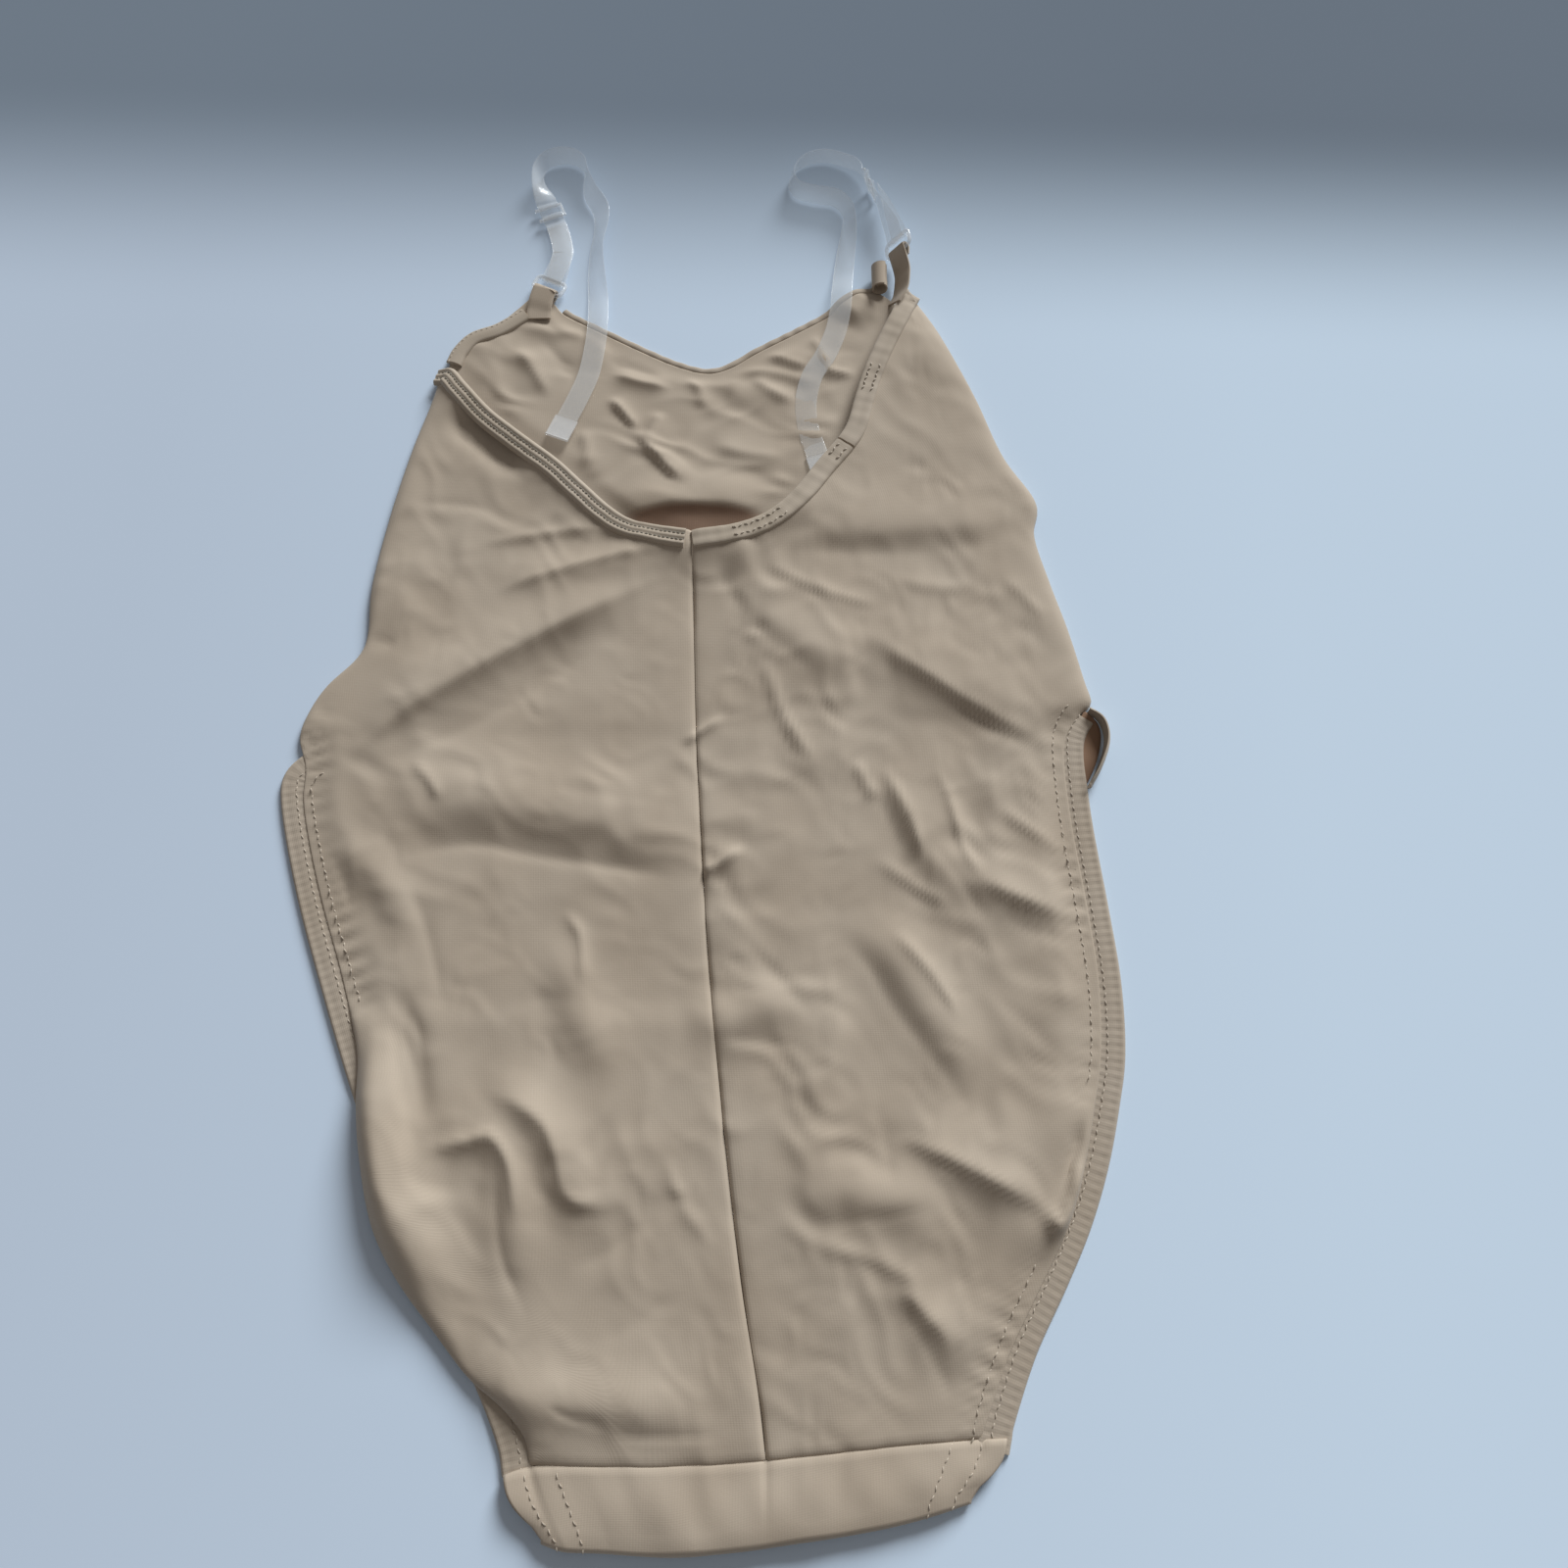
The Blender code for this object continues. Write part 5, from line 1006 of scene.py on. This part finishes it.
def make_gusset():
    """The gusset from its seam, over the bottom fold and under to the front."""
    count = 150
    share_across = np.linspace(0, 1, count)
    seam = smooth(GUSSET_LEFT + GUSSET_RIGHT[1:], count)
    seam = smooth([(-9.35, 2.3), (-8.81, 2.47), (-8.06, 2.58), (-5.9, 2.6), (-3.27, 2.62), (-0.56, 2.75),
                   (2.62, 3.06), (4.6, 3.24), (6.6, 3.34), (7.5, 3.38)], count)
    fold = smooth([(-7.95, 0.3), (-7.2, 0.1), (-6.0, 0.05), (-3.8, -0.05), (-1.5, 0.1), (0.5, 0.35), (2.4, 0.6),
                   (4.3, 0.95), (6.2, 1.45)], count)
    end = np.stack([np.linspace(-6.0, 4.8, count), 0 * share_across + 2.9], axis=-1)
    back = seam + [0, 0.12]
    seam_z = np.where(seam[:, 0] < -0.6, panel_height(back, "left"), panel_height(back, "right")) - 0.1
    over_hem = np.maximum(ease((-8.2 - seam[:, 0]) / 0.5), ease((seam[:, 0] - 6.5) / 0.4))
    seam_z = np.maximum(seam_z, 3.05 * over_hem)
    nose = np.interp(share_across, [0, 0.06, 0.16, 0.35, 0.75, 0.93, 1], [4.0, 5.4, 5.0, 6.6, 6.0, 4.6, 3.6])
    nose = nose + 0.25 * np.sin(share_across * 23) + 0.2 * np.sin(share_across * 41 + 1)
    rows = []
    for share in np.linspace(0, 0.86, 20):
        xy = seam * (1 - share) + fold * share
        xy[:, 0] += 0.32 * math.sin(math.pi * share) * (ease(share_across / 0.1 - 9) - ease(1 - share_across / 0.1))
        xy[:, 1] += 0.3 * share
        dip = 0.8 * math.exp(-((share / 0.05) ** 2))
        swell = (0.5 * math.sin(math.pi * share) + 0.22 * np.sin(xy[:, 0] * 1.3 + 3 * share)
                 + 0.12 * np.sin(xy[:, 0] * 3.7 - 5 * share)) * math.sin(math.pi * share) ** 0.5
        rows.append(raised(xy, seam_z * (1 - ease(share)) + nose * ease(share) - dip + swell))
    for turn in np.radians(np.linspace(80, -90, 14)):
        xy = fold.copy()
        xy[:, 1] += (nose / 2 - nose / 2 * math.cos(turn)) * 0.1
        rows.append(raised(xy, nose / 2 + nose / 2 * math.sin(turn)))
    for share in (0.25, 0.5, 0.75, 1.0):
        rows.append(raised(fold * (1 - share) + end * share, 0 * nose))
    over = np.stack(rows[::-1], axis=1)
    steps = np.linalg.norm(np.diff(place(over), axis=1), axis=-1) / CM
    run = np.concatenate([np.zeros((count, 1)), np.cumsum(steps, axis=1)], axis=1)
    uv = np.stack([over[..., 0], run], axis=-1)
    gusset = cloth_sheet("crotch_gusset_cloth", over, uv, JERSEY)
    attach(gusset, "root")
    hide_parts("crotch_gusset")
    rows = []
    for at in (0.045, 0.105, 0.895, 0.955):
        level = np.array([row[int(at * (count - 1))] for row in rows_above(over)])
        rows.append(place(level + [0, 0, 0.05]))
    sewn = sew("gusset_stitches", rows, 2.0, 0.2, 3.0, 14, gusset)


def rows_above(over):
    """The gusset's rows from its bottom fold up to the seam, without the part that lies beneath."""
    return [over[:, k] for k in range(4 + 8, over.shape[1] - 1)]


# Straps, rings, sliders and hooks

def ring_turn(which, sign, radius, count=7):
    """Half a turn round one of a ring's bars, through the ring's hole, in table units."""
    middle, long_way, strap_way = RINGS[which]
    out = np.cross(long_way, strap_way)
    out *= np.sign(out[2] + 1e-9)
    angles = np.radians(np.linspace(0, 180, count))
    bar = sign * strap_way * RING_HALF[1]
    arc = [bar + radius * (math.cos(a) * out - math.sin(a) * sign * strap_way) for a in angles]
    return np.array(middle) + np.array(arc) * [0.1, 0.1, 1.0]


def strap_path(which):
    """The middle of a strap from its hook to its ring, with the way across it."""
    rows = smooth(STRAPS[which], 360)
    side = level_sides(rows, rows[:, 3])
    rise = np.abs(np.sin(np.radians(rows[:, 3]))) * STRAP_WIDTH * 5
    return np.column_stack([rows[:, :2], rows[:, 2] + rise + STRAP_WALL / 2]), side


def across_and_up(middle, side):
    """A strap's own frame at each point: along it, across it and out of its face."""
    run = np.gradient(place(middle), axis=0)
    run /= np.linalg.norm(run, axis=1)[:, None]
    side = side - (side * run).sum(1)[:, None] * run
    side /= np.linalg.norm(side, axis=1)[:, None]
    return run, side, np.cross(side, run)


def strap_section(width, wall):
    """A thin strap's section with rounded edges, across in cm and up in mm."""
    half = width / 2
    top = [(-half, 0.0), (-half * 0.97, wall * 0.4), (-half * 0.9, wall * 0.5), (0, wall * 0.5),
           (half * 0.9, wall * 0.5), (half * 0.97, wall * 0.4), (half, 0.0)]
    low = [(x, -z) for x, z in top[-2:0:-1]]
    return np.array(top + low)


def make_strap(which):
    """A clear strap, woven through its slider, turned round its ring and led back under itself."""
    middle, side = strap_path(which)
    run, side, up = across_and_up(middle, side)
    at = int(np.linalg.norm(middle[:, :2] - SLIDER_AT[which], axis=1).argmin())
    travel = np.concatenate([[0], np.cumsum(np.linalg.norm(np.diff(place(middle), axis=0), axis=1) / MM)])
    travel -= travel[at]
    weave = -WEAVE_DEPTH * np.cos(math.pi * travel / SLIDER_BARS) * ease((8.5 - np.abs(travel)) / 4)
    woven = middle + up * weave[:, None] * [0.1, 0.1, 1.0]
    turn = ring_turn(which, 1, RING_WIRE + 0.5 + STRAP_WALL / 2, 15)
    _, long_way, strap_way = RINGS[which]
    under = -TAIL_GAP * np.sign((up[-1] * (turn[0] - turn[-1])).sum())
    turn = np.vstack([turn, turn[-1:] + strap_way * [0.12, 0.12, 1.2], turn[-1:] + strap_way * [0.25, 0.25, 2.5]])
    sign = np.sign((side[-1] * long_way).sum())
    back = int(np.argmax(travel > TAIL_END))
    skip = 15
    tail = middle[back:][::-1][skip:] + up[back:][::-1][skip:] * under * [0.1, 0.1, 1.0]
    tail[:, 2] = np.maximum(tail[:, 2], STRAP_WALL / 2 + 0.1)
    path = np.vstack([woven, turn, tail])
    sides = np.vstack([side, np.tile(long_way * sign, (len(turn), 1)), side[back:][::-1][skip:]])
    strap = swept_band(f"clear_strap_{which}", path, sides, strap_section(STRAP_WIDTH, STRAP_WALL), STRAP)
    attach(strap, "root")
    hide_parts(f"strap_{which}")
    return middle[at], side[at], up[at], run[0], middle[0]


def start_piece(name):
    """Names the new primitive, and leaves it with none of its vertices selected, in object mode."""
    piece = bpy.context.active_object
    piece.name = piece.data.name = name
    bpy.ops.object.mode_set(mode="EDIT")
    bpy.ops.mesh.select_all(action="DESELECT")
    bpy.ops.object.mode_set(mode="OBJECT")
    return piece


def choose(piece, test):
    """Selects the vertices of a piece whose place passes a test, then opens edit mode."""
    bpy.ops.object.mode_set(mode="OBJECT")
    for edge in piece.data.edges:
        edge.select = False
    for face in piece.data.polygons:
        face.select = False
    for vertex in piece.data.vertices:
        vertex.select = bool(test(vertex.co))
    bpy.ops.object.mode_set(mode="EDIT")
    bpy.ops.mesh.select_mode(type="VERT")


def seat_piece(piece, frame_axes, origin, look, node):
    """Puts a piece that was modelled at the origin in its place, in its mesh."""
    bpy.ops.object.mode_set(mode="OBJECT")
    turn = np.identity(4)
    turn[:3, :3] = np.column_stack(frame_axes)
    turn[:3, 3] = place(origin)
    piece.data.transform(Matrix(turn.tolist()))
    piece.data.materials.clear()
    piece.data.materials.append(look)
    piece.data.shade_smooth()
    piece.data.set_sharp_from_angle(angle=math.radians(40))
    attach(piece, "root")
    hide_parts(node)


def make_ring(which):
    """A rounded rectangle of clear wire, from a torus whose quarters are drawn apart."""
    middle, long_way, strap_way = RINGS[which]
    bpy.ops.object.select_all(action="DESELECT")
    corner = 2.2 * MM
    bpy.ops.mesh.primitive_torus_add(major_segments=48, minor_segments=16, major_radius=corner,
                                     minor_radius=RING_WIRE * MM, location=(0, 0, 0))
    piece = start_piece(f"clear_ring_{which}")
    reach_x, reach_y = RING_HALF[0] * MM - corner, RING_HALF[1] * MM - corner
    for sx in (1, -1):
        choose(piece, lambda co, s=sx: s * co.x > 1e-6)
        bpy.ops.transform.translate(value=(sx * reach_x, 0, 0))
    for sy in (1, -1):
        choose(piece, lambda co, s=sy: s * co.y > 1e-6)
        bpy.ops.transform.translate(value=(0, sy * reach_y, 0))
    out = np.cross(long_way, strap_way)
    seat_piece(piece, (long_way, strap_way, out), middle, HARD, f"ring_{which}")


def make_slider(which, spot, side, up):
    """A clear three-bar slider, from a grid with two of its faces taken out for the slots."""
    bpy.ops.object.select_all(action="DESELECT")
    bpy.ops.mesh.primitive_grid_add(x_subdivisions=3, y_subdivisions=5, size=2, location=(0, 0, 0))
    piece = start_piece(f"clear_slider_{which}")
    columns = {-1.0: -6.8, -1 / 3: -5.4, 1 / 3: 5.4, 1.0: 6.8}
    rows = {-1.0: -4.3, -0.6: -2.8, -0.2: -0.75, 0.2: 0.75, 0.6: 2.8, 1.0: 4.3}
    for start, end in rows.items():
        choose(piece, lambda co, s=start: abs(co.y - s) < 1e-3 and abs(co.z) < 1e-6)
        bpy.ops.transform.translate(value=(0, end * MM - start, 0.1))
    for start, end in columns.items():
        choose(piece, lambda co, s=start: abs(co.x - s) < 1e-3 and co.z > 0.05)
        bpy.ops.transform.translate(value=(end * MM - start, 0, -0.1))
    bpy.ops.object.mode_set(mode="OBJECT")
    for face in piece.data.polygons:
        face.select = abs(face.center.x) < 1 * MM and 1 * MM < abs(face.center.y) < 2.5 * MM
    bpy.ops.object.mode_set(mode="EDIT")
    bpy.ops.mesh.select_mode(type="FACE")
    bpy.ops.mesh.delete(type="FACE")
    bpy.ops.object.mode_set(mode="OBJECT")
    wall = piece.modifiers.new("wall", "SOLIDIFY")
    wall.thickness = 1.2 * MM
    wall.offset = 0
    edge = piece.modifiers.new("edge", "BEVEL")
    edge.width = 0.35 * MM
    edge.segments = 3
    applied(piece)
    seat_piece(piece, (side, np.cross(up, side), up), spot, HARD, f"slider_{which}")


def make_hook(which, run, spot):
    """The clear plate and ridged hook on the lower end of a strap."""
    bpy.ops.object.select_all(action="DESELECT")
    bpy.ops.mesh.primitive_cube_add(size=2, location=(0, 0, 0))
    piece = start_piece(f"clear_hook_{which}")
    piece.data.transform(Matrix.Diagonal((5.4 * MM, 5.5 * MM, 0.5 * MM, 1)))
    piece.data.transform(Matrix.Translation((5.8 * MM, 0, 0)))
    choose(piece, lambda co: co.x > 10 * MM)
    for steps in ((0.5 * MM, 0, 0.15 * MM), (0.1 * MM, 0, 0.5 * MM)):
        bpy.ops.mesh.extrude_region_move(TRANSFORM_OT_translate={"value": steps})
    choose(piece, lambda co: co.x > 9 * MM and co.z > 0.45 * MM)
    bpy.ops.mesh.extrude_region_move(TRANSFORM_OT_translate={"value": (0, 0, 0.45 * MM)})
    bpy.ops.object.mode_set(mode="OBJECT")
    edge = piece.modifiers.new("edge", "BEVEL")
    edge.width = 0.22 * MM
    edge.segments = 3
    applied(piece)
    flat = unit(-run[0], -run[1], 0)
    up = np.array((0, 0, 1.0))
    seat_piece(piece, (flat, np.cross(up, flat), up), spot, HARD, f"hook_{which}")


def make_tabs():
    """The fabric loops that hold the rings, and the peak that has rolled up on the right."""
    radius = RING_WIRE + 1.0
    section = band_section(1.15, 0.5, 0, 0.0, -0.5, 14)
    left = ring_turn("left", -1, radius, 15)
    lead = np.array([(-11.58, 50.15, 2.8), (-11.58, 50.6, 3.2), (-11.52, 51.1, 4.2)])
    path = smooth(np.vstack([lead, left, [(-11.56, 51.25, 1.3)]]), 80)
    tab = swept_band("strap_tab_left", path, np.tile(RINGS["left"][1], (80, 1)), section, JERSEY)
    right = ring_turn("right", -1, radius, 15)
    lead = np.array([(5.2, 50.9, 4.6), (5.5, 51.5, 5.4), (5.6, 52.1, 6.3), (5.6, 52.7, 7.0)])
    path = smooth(np.vstack([lead, right, right[-1:] + [(-0.02, -0.3, -0.2)]]), 80)
    narrow = band_section(1.0, 0.5, 0, 0.0, -0.5, 14)
    strip = swept_band("strap_tab_right", path, np.tile(RINGS["right"][1], (80, 1)), narrow, JERSEY)
    angles = np.radians(np.linspace(60, 470, 90))
    radii = np.linspace(1.7, 4.6, 90)
    curl = np.stack([4.6 - 0.1 * radii * np.cos(angles), 52.25 + 0.2 * np.linspace(1, 0, 90),
                     5.4 + radii * np.sin(angles)], axis=-1)
    wide = band_section(1.3, 0.5, 0, 0.0, -0.5, 14)
    roll = swept_band("rolled_peak_right", curl, np.tile([0.0, 1.0, 0.0], (90, 1)), wide, JERSEY)
    for piece, node, flat in ((tab, "strap_loop_left", (0.0125, 0.036)), (strip, "strap_loop_right", (0.0105, 0.028)),
                              (roll, "front_peak_roll_right", (0.0105, 0.024))):
        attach(piece, "root")
        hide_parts(node)


# The surface, light and camera

def make_floor():
    """A pale surface with painted shade: a soft dark band far behind the garment, and painted light that makes it
    lighter to the right and darker to the left.
    """
    look, nodes, links, shader = shader_of("pale_surface_painted_shade", 0.9)
    on_piece = nodes.new("ShaderNodeTexCoord").outputs["Object"]
    parts = nodes.new("ShaderNodeSeparateXYZ")
    links.new(on_piece, parts.inputs[0])
    # Painted shade: a soft dark band far behind the garment, slanted a little across
    far = nodes.new("ShaderNodeMath")
    far.operation = "MULTIPLY_ADD"
    links.new(parts.outputs["X"], far.inputs[0])
    far.inputs[1].default_value = 0.045
    links.new(parts.outputs["Y"], far.inputs[2])
    shade = ramp(nodes, links, far.outputs[0], 0.0, 1.0, 0.195, 0.345)
    shade_node = shade.node
    shade_node.interpolation_type = "SMOOTHSTEP"
    # Painted light: lighter towards the right, where the window light falls, and darker to the left
    painted_light_rightward = ramp(nodes, links, parts.outputs["X"], 0.0, 1.0, -0.25, 0.25)
    near = mix_colour(nodes, links, painted_light_rightward, (0.57, 0.665, 0.80), (0.68, 0.815, 0.97))
    dark = mix_colour(nodes, links, painted_light_rightward, (0.21, 0.255, 0.315), (0.19, 0.23, 0.285))
    links.new(mix_colour(nodes, links, shade, near, dark), shader.inputs["Base Color"])
    shader.inputs["Specular IOR Level"].default_value = 0.0
    bpy.ops.object.select_all(action="DESELECT")
    bpy.ops.mesh.primitive_grid_add(x_subdivisions=4, y_subdivisions=4, size=6, location=(0, 0, 0))
    floor = bpy.context.active_object
    floor.name = "pale_floor"
    floor.data.transform(Matrix.Translation((0, 0, -0.0002)))
    floor.data.materials.append(look)


def make_light():
    """Window light from the upper right at a low slant, and a pale room all round."""
    data = bpy.data.lights.new("window_light", "SUN")
    data.energy = SUN_STRENGTH
    data.angle = math.radians(SUN_WIDTH)
    data.color = (0.95, 0.985, 1.0)
    window = bpy.data.objects.new("window_light", data)
    bpy.context.scene.collection.objects.link(window)
    back = unit(*SUN_FROM)
    right = unit(*np.cross((0, 0, 1), back))
    turn = np.identity(4)
    turn[:3, :3] = np.column_stack([right, np.cross(back, right), back])
    window.matrix_world = Matrix(turn.tolist())
    world = bpy.data.worlds.new("pale_room")
    world.use_nodes = True
    sky = world.node_tree.nodes["Background"]
    sky.inputs["Color"].default_value = (1.0, 0.96, 0.93, 1)
    sky.inputs["Strength"].default_value = ROOM_STRENGTH
    bpy.context.scene.world = world
    bpy.context.scene.view_settings.view_transform = "Standard"


# The light: the way to the window, its strength and spread in degrees, and the room's own glow
SUN_FROM = (0.42, 0.80, 0.42)
SUN_STRENGTH = 4.1
SUN_WIDTH = 25
ROOM_STRENGTH = 0.215


# The camera that matches the photograph's frame: height over the surface, place along Y, tilt and lens
CAMERA_HEIGHT = 45.0
CAMERA_Y = 10.511
CAMERA_TILT = 20
CAMERA_LENS = 27.045
SENSOR = 36.0


def make_camera():
    """A camera over the crotch end, looking down and away."""
    data = bpy.data.cameras.new("camera")
    data.sensor_width = SENSOR
    data.lens = CAMERA_LENS
    data.clip_start = 0.01
    camera = bpy.data.objects.new("camera", data)
    camera.location = ((0 - MIDDLE_X) * CM, (CAMERA_Y - MIDDLE_Y) * CM, CAMERA_HEIGHT * CM)
    camera.rotation_euler = (math.radians(CAMERA_TILT), 0, 0)
    bpy.context.scene.collection.objects.link(camera)
    bpy.context.scene.camera = camera


make_front()
left_panel, left_grid = back_panel("left")
right_panel, right_grid = back_panel("right")
make_scoop()
make_leg_bands()
make_leg_mouth()
make_gusset()
for which in ("left", "right"):
    spot, side, up, run, foot = make_strap(which)
    make_ring(which)
    make_slider(which, spot, side, up)
    make_hook(which, run, foot)
make_tabs()
make_floor()
make_light()
make_camera()
